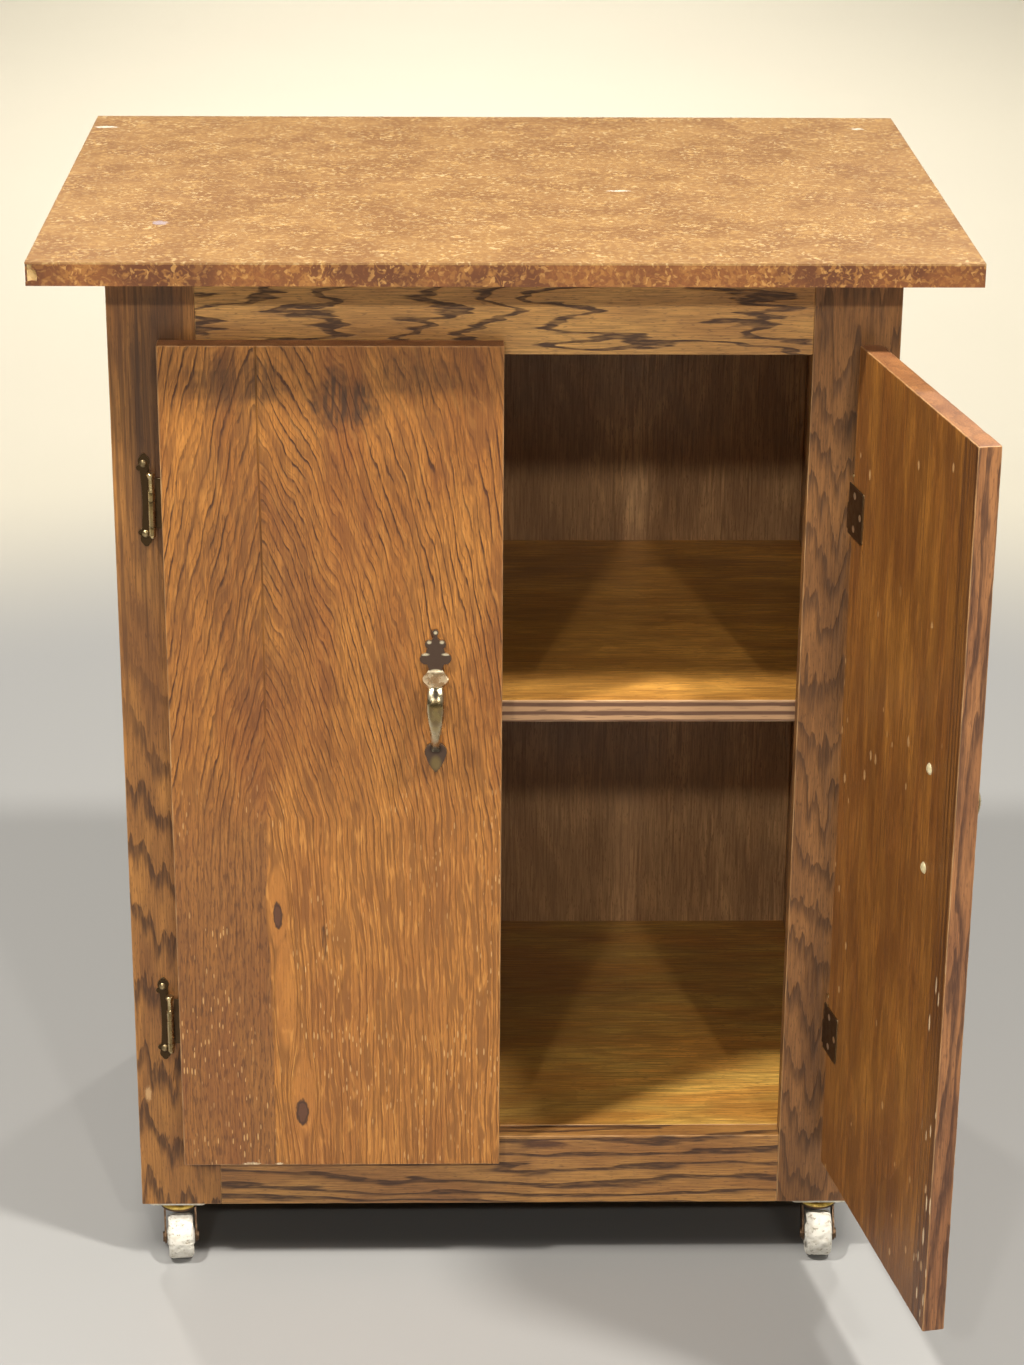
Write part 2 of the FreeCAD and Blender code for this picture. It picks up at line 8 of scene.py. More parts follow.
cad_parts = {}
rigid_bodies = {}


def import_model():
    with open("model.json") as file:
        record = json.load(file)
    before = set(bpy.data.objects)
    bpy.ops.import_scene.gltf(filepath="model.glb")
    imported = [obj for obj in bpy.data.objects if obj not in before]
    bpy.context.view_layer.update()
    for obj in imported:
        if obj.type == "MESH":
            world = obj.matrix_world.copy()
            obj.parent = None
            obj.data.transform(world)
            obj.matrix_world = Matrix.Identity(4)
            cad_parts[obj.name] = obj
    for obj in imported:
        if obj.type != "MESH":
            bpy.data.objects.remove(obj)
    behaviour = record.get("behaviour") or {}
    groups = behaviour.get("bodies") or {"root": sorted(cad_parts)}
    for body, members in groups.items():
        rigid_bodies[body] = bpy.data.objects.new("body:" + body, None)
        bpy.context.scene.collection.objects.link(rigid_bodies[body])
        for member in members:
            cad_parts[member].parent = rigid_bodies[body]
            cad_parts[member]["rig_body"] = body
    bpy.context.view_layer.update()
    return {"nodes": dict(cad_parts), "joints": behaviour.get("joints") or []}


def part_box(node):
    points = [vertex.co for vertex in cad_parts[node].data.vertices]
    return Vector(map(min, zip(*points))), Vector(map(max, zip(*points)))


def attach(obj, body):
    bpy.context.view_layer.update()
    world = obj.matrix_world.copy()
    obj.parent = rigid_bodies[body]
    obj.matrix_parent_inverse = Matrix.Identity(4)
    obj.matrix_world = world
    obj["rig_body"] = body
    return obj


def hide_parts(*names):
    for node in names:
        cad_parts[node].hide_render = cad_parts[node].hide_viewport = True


# The looks of a two-door oak storage cabinet on casters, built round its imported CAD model.
# Every length is in metres, in the frame of the CAD model: +X right, +Y back, +Z up.

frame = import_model()
joints = {j["name"]: j for j in frame["joints"]}
hinge = joints["right_door_hinge"]
door_pivot = Vector(hinge["pos_m"])
open_angle = math.radians(-hinge["range_deg"][0])    # the right door is modelled open by this

MM = 0.001


def put(name, data):
    """A new object in the scene."""
    made = bpy.data.objects.new(name, data)
    bpy.context.scene.collection.objects.link(made)
    return made


def srgb(red, green, blue):
    """A colour as seen, 0 to 255, turned into the linear colour that a shader takes."""
    def linear(value):
        value = value / 255
        return value / 12.92 if value <= 0.04045 else ((value + 0.055) / 1.055) ** 2.4
    return (linear(red), linear(green), linear(blue), 1.0)


# ---- Shader graphs ------------------------------------------------------------------------------
class Val:
    """One output in a shader graph. Arithmetic on it adds Math nodes."""

    def __init__(self, graph, socket):
        self.graph, self.socket = graph, socket

    def __add__(self, other):
        return self.graph.math("ADD", self, other)

    def __sub__(self, other):
        return self.graph.math("SUBTRACT", self, other)

    def __rsub__(self, other):
        return self.graph.math("SUBTRACT", other, self)

    def __mul__(self, other):
        return self.graph.math("MULTIPLY", self, other)

    def __truediv__(self, other):
        return self.graph.math("DIVIDE", self, other)

    __radd__ = __add__
    __rmul__ = __mul__


class Graph:
    """A material and the short ways to wire it."""

    def __init__(self, name):
        self.material = bpy.data.materials.new(name)
        self.material.use_nodes = True
        self.tree = self.material.node_tree
        self.tree.nodes.clear()

    def node(self, kind, values=None, output=0, **settings):
        made = self.tree.nodes.new("ShaderNode" + kind)
        for key, value in settings.items():
            setattr(made, key, value)
        for key, value in (values or {}).items():
            if isinstance(value, Val):
                self.tree.links.new(value.socket, made.inputs[key])
            else:
                made.inputs[key].default_value = value
        return Val(self, made.outputs[output])

    def math(self, operation, *terms):
        return self.node("Math", dict(enumerate(terms)), operation=operation)

    def step(self, value, low, high):
        """0 below low, 1 above high, smooth between; falls instead where low is above high."""
        places = {"Value": value, "From Min": low, "From Max": high}
        return self.node("MapRange", places, interpolation_type="SMOOTHSTEP")

    def grain(self):
        """Place in the board: across, through and along its grain."""
        return self.node("Attribute", output="Vector", attribute_name="grain")

    def rim(self):
        """Distance from the board's nearest edge."""
        return self.node("Attribute", output="Fac", attribute_name="rim")

    def place(self):
        """Place in the frame at rest, for pieces that have no grain."""
        return self.node("TexCoord", output="Object")

    def split(self, vector):
        """The three numbers of a vector."""
        made = self.tree.nodes.new("ShaderNodeSeparateXYZ")
        self.tree.links.new(vector.socket, made.inputs[0])
        return [Val(self, s) for s in made.outputs]

    def vector(self, x, y, z):
        return self.node("CombineXYZ", {0: x, 1: y, 2: z})

    def streaks(self, p, across, along, seed, detail=2.0, distortion=0.0):
        """Noise in blobs of that width across the grain and that length along it."""
        scale = (1 / across, 1 / across, 1 / along)
        moved = self.node("Mapping", {"Vector": p, "Location": (seed, seed, seed), "Scale": scale})
        values = {"Vector": moved, "Scale": 1.0, "Detail": detail, "Distortion": distortion}
        return self.node("TexNoise", values)

    def blobs(self, p, size, seed, detail=2.0):
        """Noise in blobs of that size."""
        return self.streaks(p, size, size, seed, detail)

    def ticks(self, p, across, along, share, seed):
        """Short marks along the grain, one in each cell of that size, in that share of the cells."""
        x, _, z = self.split(p)
        flat = self.vector(x / across + seed, z / along + seed, 0.0)
        cell = self.tree.nodes.new("ShaderNodeTexVoronoi")
        cell.voronoi_dimensions = "2D"
        self.tree.links.new(flat.socket, cell.inputs["Vector"])
        cell.inputs["Scale"].default_value = 1.0
        away = Val(self, cell.outputs["Distance"])
        chance, length, _ = self.split(Val(self, cell.outputs["Color"]))
        reach = 0.10 + length * 0.16
        return self.step(away / reach, 1.0, 0.6) * self.step(chance, share + 0.02, share)

    def spot(self, p, centre, radii, ragged=0.0, seed=0.0):
        """1 in the middle of an ellipse across and along the grain, falling to 0 at its edge."""
        scale = (1 / radii[0], 0.0, 1 / radii[1])
        offset = (-centre[0] / radii[0], 0.0, -centre[1] / radii[1])
        moved = self.node("Mapping", {"Vector": p, "Location": offset, "Scale": scale})
        away = self.node("VectorMath", {0: moved}, output="Value", operation="LENGTH")
        if ragged:
            away = away + (self.streaks(p, radii[0] * 0.4, radii[1] * 0.4, seed) - 0.5) * ragged
        return self.step(away, 1.0, 0.35)

    def mix(self, share, first, second, blend="MIX"):
        """The first colour, with that share of the second."""
        values = {0: share, 6: first, 7: second}
        return self.node("Mix", values, output=2, data_type="RGBA", blend_type=blend)

    def finish(self, color, roughness, height=None, **shader):
        """Ends the graph in a Principled shader. height is in millimetres."""
        made = self.tree.nodes.new("ShaderNodeBsdfPrincipled")
        for key, value in {"Base Color": color, "Roughness": roughness}.items():
            if isinstance(value, Val):
                self.tree.links.new(value.socket, made.inputs[key])
            else:
                made.inputs[key].default_value = value
        for key, value in shader.items():
            made.inputs[key.replace("_", " ")].default_value = value
        if height is not None:
            bump = self.node("Bump", {"Height": height, "Distance": MM, "Strength": 1.0})
            self.tree.links.new(bump.socket, made.inputs["Normal"])
        out = self.tree.nodes.new("ShaderNodeOutputMaterial")
        self.tree.links.new(made.outputs[0], out.inputs[0])
        return self.material


# ---- Oak ----------------------------------------------------------------------------------------
# In the functions below, g is a graph, p the place in the grain, and phase counts growth rings.
# Sizes of noise are its width across the grain and its length along it. Pairs of numbers in
# g.step are the levels between which a pattern comes in, and seeds only tell patterns apart.
def pore_lines(g, p, phase, width, seed):
    """Each growth ring: a shade that deepens into a thin open-pored line, then stops sharply."""
    ring = g.math("FRACT", phase)
    shade = g.step(ring, 0.95 - width, 0.95) * g.step(ring, 1.0, 0.95)
    groove = g.step(ring, 0.76, 0.86) * g.step(ring, 1.0, 0.94)
    going = g.step(g.streaks(p, 0.0060, 0.060, seed + 3.1), 0.36, 0.50)
    pores = g.step(g.streaks(p, 0.0016, 0.010, seed + 7.7, detail=1.0), 0.26, 0.50)
    return shade * 0.42 + groove * (0.12 + going * 0.50) * (0.55 + pores * 0.45)


def figure_band(g, p, phase, width, seed, soft=0.5):
    """The broad dark band of a plain-sawn growth ring: sharp on one side, fading on the other."""
    ring = g.math("FRACT", phase)
    band = g.step(ring, 0.94 - width, 0.94 - width * (1.0 - soft)) * g.step(ring, 1.0, 0.94)
    pores = g.step(g.streaks(p, 0.0016, 0.013, seed + 7.7), 0.32, 0.60)
    return band * (0.62 + pores * 0.38)


def oak_colors(g, p, line, palette, seed, fleck=0.42):
    """Stained oak: blotches, fibre and dark pores. Returns its colour and its relief in mm."""
    light, middle, dark = palette
    blotch = g.step(g.streaks(p, 0.030, 0.13, seed + 11.0), 0.34, 0.66)
    fibre = g.streaks(p, 0.0012, 0.030, seed + 5.0, detail=3.0)
    base = g.mix(blotch, middle, light)
    base = g.mix(g.step(fibre, 0.66, 0.32) * 0.42, base, dark)
    fine = g.step(g.streaks(p, 0.0009, 0.007, seed + 2.0, detail=1.0), 0.58, 0.70)
    color = g.mix(g.math("MAXIMUM", line, fine * fleck), base, dark)
    relief = fibre * 0.12 - line * 0.42 - fine * 0.08
    return color, relief


def worn_edges(g, p, color, pale, reach=0.0016, seed=0.0, share=0.55):
    """Varnish rubbed off the edges in places."""
    rub = g.step(g.streaks(p, 0.010, 0.030, seed + 21.0), 0.62 - share * 0.3, 0.70)
    near = g.step(g.rim(), reach, 0.0)
    return g.mix(near * (0.22 + rub * 0.6), color, pale)


# Each palette is a light, a middle and a dark colour.
DOOR_PALETTE = (srgb(198, 131, 58), srgb(170, 107, 46), srgb(76, 41, 18))
STAIN = srgb(58, 38, 26)
CHIPPED = srgb(232, 206, 168)
PALE_WEAR = srgb(214, 170, 118)


def door_face(name, seam, knots, islands, smudges, seed):
    """Rotary-sliced veneer: rings fan out from an upright seam and crowd together lower down.

    The rings part round the islands. knots and islands are (centre, radii); smudges also have a
    share and a colour.
    """
    fan_foot = 0.42                           # the height above which the rings fan out
    crowding, extra_crowding = 150.0, 34.0    # rings per metre from the seam, and more on its right
    climb, extra_climb = 34.0, 24.0           # rings per metre upward, and more on the right
    seam_bend = 0.003                         # how far from the seam the rings round the turn
    g = Graph(name)
    p = g.grain()
    across, _, along = g.split(p)
    wander = g.streaks(p, 0.07, 0.24, seed, detail=1.0) - 0.5
    u = across - seam + wander * 0.008
    clearing = None
    for centre, radii in islands:
        clear = g.spot(p, centre, radii)
        u = u - (u - (centre[0] - seam)) * clear * 0.88
        clearing = clear if clearing is None else g.math("MAXIMUM", clearing, clear)
    right = g.step(u, -0.001, 0.001)
    away = g.math("SQRT", u * u + seam_bend ** 2)
    rise = g.math("MAXIMUM", along - fan_foot, 0.0)
    rise = rise - g.math("MAXIMUM", fan_foot - along, 0.0) * 0.12
    spread = 1.0 - g.math("MINIMUM", away * 3.3, 0.75)
    phase = away * (crowding + right * extra_crowding)
    phase = phase + rise * spread * (climb + right * extra_climb)
    phase = phase + (g.streaks(p, 0.020, 0.12, seed + 1.0, detail=1.0) - 0.5) * 2.0
    phase = phase + (g.streaks(p, 0.0075, 0.024, seed + 2.0, detail=3.0) - 0.5) * 0.62
    knot = None
    for index, (centre, radii) in enumerate(knots):
        core = g.spot(p, centre, radii, ragged=0.5, seed=seed + index)
        knot = core if knot is None else g.math("MAXIMUM", knot, core)
    lower = g.step(along, 0.50, 0.36)
    dull = lower * (1.0 - right)
    line = pore_lines(g, p, phase, 0.62, seed)
    second = pore_lines(g, p, phase * 2.0 + 0.3, 0.50, seed + 60.0)
    line = g.math("MAXIMUM", line, second * 0.50)
    bold = g.step(g.streaks(p, 0.030, 0.10, seed + 17.0), 0.36, 0.62)
    bold = bold * 0.38 + lower * right * 0.60
    line = line * (1.0 - dull * 0.20) * (0.62 + bold)
    following = g.vector(phase * 0.0054, seed, along)
    broken = g.step(g.streaks(following, 0.0034, 0.040, seed + 71.0), 0.50, 0.62)
    broken = broken * (0.40 + lower * right * 0.46)
    line = g.math("MAXIMUM", line * (1.0 - broken * 0.2), broken)
    line = line * (1.0 - g.step(clearing, 0.45, 0.85) * 0.88)
    color, relief = oak_colors(g, p, line, DOOR_PALETTE, seed, fleck=0.5)
    ridge = g.step(g.streaks(following, 0.0026, 0.026, seed + 81.0), 0.54, 0.66) * (1.0 - broken)
    color = g.mix(ridge * (0.18 + lower * right * 0.36), color, srgb(230, 164, 84))
    color = g.mix(dull * 0.55, color, srgb(128, 84, 48))
    color = g.mix(lower * right * 0.35, color, srgb(206, 138, 66), "LIGHTEN")
    pits = g.step(g.streaks(p, 0.0016, 0.012, seed + 37.0), 0.52, 0.62)
    color = g.mix(pits * dull * 0.55, color, srgb(78, 46, 26))
    ruddy = g.step(g.streaks(p, 0.040, 0.11, seed + 31.0), 0.50, 0.66)
    color = g.mix(ruddy * 0.20, color, srgb(120, 62, 34))
    if knot is not None:
        ring = g.step(knot, 0.05, 0.3) * g.step(knot, 0.9, 0.5)
        color = g.mix(g.step(knot, 0.10, 0.5), color, srgb(98, 62, 42))
        color = g.mix(ring * 0.7, color, srgb(58, 36, 24))
    fibres = 0.35 + g.step(g.streaks(p, 0.0030, 0.030, seed + 19.0), 0.36, 0.60) * 0.65
    for index, (centre, radii, share, tone) in enumerate(smudges):
        stain = g.spot(p, centre, radii, ragged=1.3, seed=seed + 40.0 + index)
        color = g.mix(stain * fibres * share, color, tone)
    flecks = g.ticks(p, 0.0030, 0.0160, 0.36, seed + 9.0)
    sparse = g.step(g.streaks(p, 0.040, 0.07, seed + 51.0), 0.45, 0.60)
    flecks = flecks * g.step(along, 0.50, 0.38) * sparse
    color = g.mix(flecks * 0.70, color, srgb(224, 178, 118))
    color = worn_edges(g, p, color, PALE_WEAR, seed=seed)
    roughness = 0.36 + line * 0.25 + g.blobs(p, 0.05, seed + 8.0) * 0.12
    return g.finish(color, roughness, relief, Coat_Weight=0.10, Coat_Roughness=0.28)


def plain_sawn(name, palette, rings, jag, seed, width, soft, strength, teeth=0.30, wear=0.5,
               scallop=None, patches=(), calm=None, settle=None):
    """Plain-sawn stained board.

    rings are growth rings per metre across, through and along it. jag and teeth make them wander,
    coarsely and finely. width, soft and strength are the dark band's breadth, fade and depth.
    scallop is (middle, rings per metre): the rings arch about that line across the board.
    patches are (centre, radii, share, colour). calm is a height above which the figure fades into
    upright streaks. settle is (start, middle): past start, along the board, the rings turn
    lengthwise, and middle is the board's middle across.
    """
    settled_rings, slowing = 52.0, 0.55    # past start: more rings across, and fewer along
    arch_bend = 0.012                      # how far from its middle a scallop rounds over
    g = Graph(name)
    p = g.grain()
    across, through, along = g.split(p)
    phase = across * rings[0] + through * rings[1] + along * rings[2]
    phase = phase + (g.streaks(p, 0.07, 0.28, seed + 1.5, detail=1.0) - 0.5) * 2.4
    phase = phase + (g.streaks(p, 0.014, 0.12, seed + 2.5) - 0.5) * jag
    phase = phase + (g.streaks(p, 0.0022, 0.020, seed + 4.5) - 0.5) * teeth
    if settle:
        start, middle = settle
        beyond = g.math("MAXIMUM", along - start, 0.0)
        turned = g.step(along, start - 0.10, start + 0.14)
        phase = phase + turned * (across - middle) * settled_rings - beyond * rings[2] * slowing
    if scallop:
        middle, arch_rings = scallop
        off_middle = across - middle
        phase = phase + g.math("SQRT", off_middle * off_middle + arch_bend ** 2) * arch_rings
    line = figure_band(g, p, phase, width, seed, soft) * strength
    if calm:
        wander = g.streaks(p, 0.04, 0.14, seed + 33.0) - 0.5
        above = g.step(along + wander * 0.10, calm - 0.08, calm + 0.08)
        upright = g.step(g.streaks(p, 0.0036, 0.22, seed + 35.0), 0.50, 0.62)
        line = g.math("MAXIMUM", line * (1.0 - above * 0.74), upright * above * 0.52)
    color, relief = oak_colors(g, p, line, palette, seed)
    for centre, radii, share, tone in patches:
        patch = g.spot(p, centre, radii, ragged=0.9, seed=seed + 70.0)
        color = g.mix(patch * share, color, tone)
    color = worn_edges(g, p, color, PALE_WEAR, reach=0.0012, seed=seed, share=wear)
    roughness = 0.38 + line * 0.2 + g.blobs(p, 0.04, seed + 8.0) * 0.14
    return g.finish(color, roughness, relief, Coat_Weight=0.10, Coat_Roughness=0.3)


def plywood_face(name, palette, seed, contrast, wave=5.0, wear=0.3, specks=0.0, strip=None,
                 painted_shades=()):
    """Rotary-cut veneer: long contour-like figure under a dark stain.

    wave says how close the contours are, and contrast how dark. specks is the share of small pale
    nicks. strip is (from, to) across the board, where the figure gives way to close straight lines,
    with pale nicks lower down. Each painted shade is (axis, none, full, share): a painted shade
    darkens the finish between those two places along that axis of the grain.
    """
    g = Graph(name)
    p = g.grain()
    across, _, along = g.split(p)
    contour = g.streaks(p, 0.075, 0.30, seed, distortion=0.4)
    phase = contour * wave * 4.0 + across * 12.0
    line = figure_band(g, p, phase, 0.70, seed) * contrast
    if strip:
        inside = g.step(across, strip[0], strip[0] + 0.003)
        inside = inside * g.step(across, strip[1], strip[1] - 0.001)
        lines = g.step(g.streaks(p, 0.0021, 0.22, seed + 27.0, detail=1.0), 0.50, 0.60)
        line = line * (1.0 - inside) + lines * inside * 0.80
    fine = g.step(g.streaks(p, 0.0024, 0.055, seed + 45.0, detail=3.0), 0.50, 0.62)
    line = g.math("MAXIMUM", line, fine * 0.44)
    color, relief = oak_colors(g, p, line, palette, seed, fleck=0.56)
    cloud = g.step(g.streaks(p, 0.05, 0.12, seed + 14.0), 0.40, 0.64)
    color = g.mix(cloud * 0.22, color, palette[2])
    # Painted shade: the finish darkens towards one end along an axis, where less light reaches.
    for axis, none, full, share in painted_shades:
        color = g.mix(g.step(g.split(p)[axis], none, full) * share, color, palette[2])
    if strip:
        color = g.mix(inside * 0.30, color, palette[2])
        nicks = g.ticks(p, 0.0085, 0.036, 0.50, seed + 6.0)
        nicks = nicks * inside * g.step(along, 0.44, 0.36)
        color = g.mix(nicks * 0.9, color, CHIPPED)
    if specks:
        color = g.mix(g.ticks(p, 0.012, 0.022, specks, seed) * 0.6, color, PALE_WEAR)
    color = worn_edges(g, p, color, PALE_WEAR, reach=0.0014, seed=seed, share=wear)
    roughness = 0.34 + g.blobs(p, 0.05, seed + 8.0) * 0.16
    return g.finish(color, roughness, relief, Coat_Weight=0.12, Coat_Roughness=0.25)


def ply_edge(name, layers, low, high):
    """The layers of a plywood edge. low and high are its faces, across the grain."""
    g = Graph(name)
    p = g.grain()
    across, _, _ = g.split(p)
    share = (across - low) * (1 / (high - low))
    wave = (g.streaks(p, 0.004, 0.05, 3.0) - 0.5) * 0.10
    stripe = g.math("PINGPONG", (share + wave) * layers, 1.0)
    color = g.mix(g.step(stripe, 0.30, 0.62), srgb(106, 74, 54), srgb(186, 146, 108))
    fibre = g.streaks(p, 0.0012, 0.02, 6.0)
    color = g.mix(g.step(fibre, 0.58, 0.72) * 0.6, color, srgb(74, 48, 34))
    color = worn_edges(g, p, color, srgb(226, 196, 158), reach=0.0013, share=0.9)
    return g.finish(color, 0.55, fibre * 0.15, Coat_Weight=0.04, Coat_Roughness=0.4)


# ---- Boards -------------------------------------------------------------------------------------
SIDE_NAMES = (("left", "right"), ("front", "back"), ("bottom", "top"))
# How edges wear: waves per metre of a coarse and a fine noise, and the level up to which none do.
COARSE_WEAR, FINE_WEAR, NO_WEAR = 90.0, 260.0, 0.10


def stations(low, high, radius, cell):
    """Grid lines along one side of a board, close together at its rounded ends."""
    ends = [0.0, 0.3 * radius, 0.65 * radius, radius, radius + 1.5 * MM]
    ends = [e for e in ends if e < (high - low) * 0.4]
    inner_low, inner_high = low + ends[-1], high - ends[-1]
    count = max(1, round((inner_high - inner_low) / cell))
    inner = [inner_low + (inner_high - inner_low) * i / count for i in range(count + 1)]
    return [low + e for e in ends[:-1]] + inner + [high - e for e in reversed(ends[:-1])]


def worn_board(name, box, radius, cell, materials, along, wear, turn):
    """A board with rounded, slightly nibbled edges, as a new mesh object.

    cell is the size of its faces, and wear the deepest nibble. materials gives the material of
    each side: front, back, left, right, top, bottom or other. along says which axis the grain runs
    along. turn moves the finished mesh, as for an open door.
    """
    low, high = np.array(box[0]), np.array(box[1])
    lines = [stations(low[i], high[i], radius, cell) for i in range(3)]
    index, points, faces, sides = {}, [], [], []

    def corner(key):
        if key not in index:
            index[key] = len(points)
            points.append([lines[i][key[i]] for i in range(3)])
        return index[key]

    for axis in range(3):
        first, second = (axis + 1) % 3, (axis + 2) % 3
        for end in (0, 1):
            fixed = end * (len(lines[axis]) - 1)
            for i in range(len(lines[first]) - 1):
                for j in range(len(lines[second]) - 1):
                    loop = []
                    for di, dj in ((0, 0), (1, 0), (1, 1), (0, 1)):
                        key = [0, 0, 0]
                        key[axis], key[first], key[second] = fixed, i + di, j + dj
                        loop.append(corner(tuple(key)))
                    faces.append(loop if end else loop[::-1])
                    sides.append(SIDE_NAMES[axis][end])
    flat = np.array(points)
    inner = np.clip(flat, low + radius, high - radius)
    out = flat - inner
    length = np.linalg.norm(out, axis=1)
    out = out / np.maximum(length, 1e-9)[:, None]
    to_face = np.sort(np.minimum(flat - low, high - flat), axis=1)
    rim = to_face[:, 1]
    depth = np.zeros(len(flat))
    for n, point in enumerate(flat):
        if rim[n] <= radius * 1.01:
            rough = noise.noise(Vector(point) * COARSE_WEAR)
            rough = rough + 0.5 * noise.noise(Vector(point) * FINE_WEAR)
            depth[n] = wear * max(0.0, rough - NO_WEAR)
    rounded = inner + out * (np.minimum(length, radius) - depth)[:, None]
    mesh = bpy.data.meshes.new(name)
    mesh.from_pydata(rounded.tolist(), [], faces)
    order = {"z": (0, 1, 2), "x": (2, 1, 0), "y": (0, 2, 1)}[along]
    grain = mesh.attributes.new("grain", "FLOAT_VECTOR", "POINT")
    grain.data.foreach_set("vector", flat[:, order].astype(np.float32).ravel())
    edge = mesh.attributes.new("rim", "FLOAT", "POINT")
    edge.data.foreach_set("value", rim.astype(np.float32))
    chosen = []
    for side in sides:
        material = materials.get(side, materials["other"])
        if material not in chosen:
            chosen.append(material)
            mesh.materials.append(material)
    for polygon, side in zip(mesh.polygons, sides):
        polygon.material_index = chosen.index(materials.get(side, materials["other"]))
    mesh.polygons.foreach_set("use_smooth", [True] * len(mesh.polygons))
    if turn is not None:
        mesh.transform(turn)
    mesh.update()
    return put(name, mesh)


def replace_board(node, materials, along="z", radius=0.8 * MM, cell=12 * MM, wear=0.3 * MM,
                  box=None, turn=None):
    """Puts a worn board in the place of a CAD one. box is its shape before turn moves it."""
    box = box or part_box(node)
    made = worn_board(node + "_wood", box, radius, cell, materials, along, wear, turn)
    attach(made, frame["nodes"][node]["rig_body"])
    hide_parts(node)


def paint(material, *nodes):
    """Gives the material to CAD pieces that keep their own shape."""
    for name in nodes:
        mesh = frame["nodes"][name].data
        mesh.materials.clear()
        mesh.materials.append(material)


# ---- Face frame ---------------------------------------------------------------------------------
STILE_PALETTE = (srgb(184, 126, 62), srgb(144, 94, 47), srgb(62, 37, 23))
RAIL_PALETTE = (srgb(196, 143, 78), srgb(166, 114, 62), srgb(62, 39, 28))
TOP_RAIL_PALETTE = (srgb(218, 166, 96), srgb(192, 140, 80), srgb(70, 46, 34))
MAUVE_PALETTE = (srgb(166, 114, 64), srgb(132, 88, 47), srgb(58, 36, 22))
STILE_DARK_STRIP = srgb(60, 36, 24)

# The left stile darkens in two strips along its edge beside the door, in its upper part, and has a
# small pale worn spot lower down.
left_stile_oak = plain_sawn(
    "left_stile_oak", STILE_PALETTE, (12.0, 0.0, 17.0), 2.2, 3.0, width=0.44, soft=0.72,
    strength=0.82, teeth=0.42, calm=0.50,
    patches=(((-0.266, 0.76), (0.024, 0.22), 0.66, STILE_DARK_STRIP),
             ((-0.284, 0.74), (0.007, 0.20), 0.60, STILE_DARK_STRIP),
             ((-0.296, 0.158), (0.0035, 0.009), 0.8, PALE_WEAR)))
right_stile_oak = plain_sawn(
    "right_stile_oak", MAUVE_PALETTE, (6.0, 0.0, 21.0), 3.0, 17.0, width=0.54, soft=0.92,
    scallop=(0.264, -40.0), wear=0.8, strength=0.66, teeth=0.46)
top_rail_oak = plain_sawn(
    "top_rail_oak", TOP_RAIL_PALETTE, (-14.0, 0.0, 14.0), 3.0, 29.0, width=0.26, soft=0.35,
    strength=0.95, teeth=0.35, settle=(0.02, 0.834))
bottom_rail_oak = plain_sawn(
    "bottom_rail_oak", RAIL_PALETTE, (88.0, 0.0, 2.0), 2.4, 41.0, width=0.42, soft=0.55,
    strength=0.90, teeth=0.12,
    patches=(((0.108, 0.035), (0.006, 0.030), 0.8, srgb(58, 24, 20)),))

frame_boards = {
    "left_stile": (left_stile_oak, "z"),
    "right_stile": (right_stile_oak, "z"),
    "top_rail": (top_rail_oak, "x"),
    "bottom_rail": (bottom_rail_oak, "x"),
}
for node, (oak, along) in frame_boards.items():
    replace_board(node, {"other": oak}, along, radius=0.9 * MM)

# ---- Carcass ------------------------------------------------------------------------------------
SIDE_PALETTE = (srgb(172, 114, 58), srgb(140, 90, 48), srgb(62, 36, 22))
INSIDE_PALETTE = (srgb(214, 168, 116), srgb(188, 144, 98), srgb(112, 78, 52))
SHELF_PALETTE = (srgb(242, 178, 84), srgb(212, 150, 68), srgb(104, 66, 28))
DECK_PALETTE = (srgb(255, 206, 104), srgb(248, 180, 84), srgb(100, 58, 24))
PLY_LAYERS = 5.0

outside_ply = plain_sawn("outside_ply", SIDE_PALETTE, (0.0, 34.0, 3.0), 3.4, 61.0, width=0.60,
                         soft=0.8, strength=0.50, wear=0.4)
inside_ply = plywood_face("inside_ply", INSIDE_PALETTE, 71.0, contrast=0.6)
# The painted shades darken the shelf and the cabinet floor towards the back and the left, and the
# back panel towards the left, where less light falls inside the cabinet.
shelf_ply = plywood_face("shelf_ply", SHELF_PALETTE, 83.0, wave=3.0, contrast=0.24,
                         painted_shades=((1, 0.06, 0.22, 0.14), (2, 0.15, 0.01, 0.26)))
deck_ply = plywood_face("deck_ply", DECK_PALETTE, 87.0, wave=3.0, contrast=0.24,
                        painted_shades=((1, 0.10, 0.26, 0.38), (2, 0.16, 0.01, 0.44)))
back_ply = plywood_face("back_ply", INSIDE_PALETTE, 93.0, wave=2.4, contrast=0.26,
                        painted_shades=((0, 0.15, 0.01, 0.34),))

replace_board("left_side_panel", {"left": outside_ply, "other": inside_ply})
replace_board("right_side_panel", {"right": outside_ply, "other": inside_ply})
replace_board("back_panel", {"other": back_ply})
for node, ply in (("shelf", shelf_ply), ("deck_panel", deck_ply)):
    underside, topside = (corner.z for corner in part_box(node))
    edge = ply_edge(node + "_edge", PLY_LAYERS, underside, topside)
    replace_board(node, {"front": edge, "other": ply}, "x")

# ---- Doors --------------------------------------------------------------------------------------
INNER_PALETTE = (srgb(178, 118, 50), srgb(150, 94, 40), srgb(72, 40, 20))
LIP_PALETTE = (srgb(176, 120, 74), srgb(148, 97, 60), srgb(60, 34, 26))

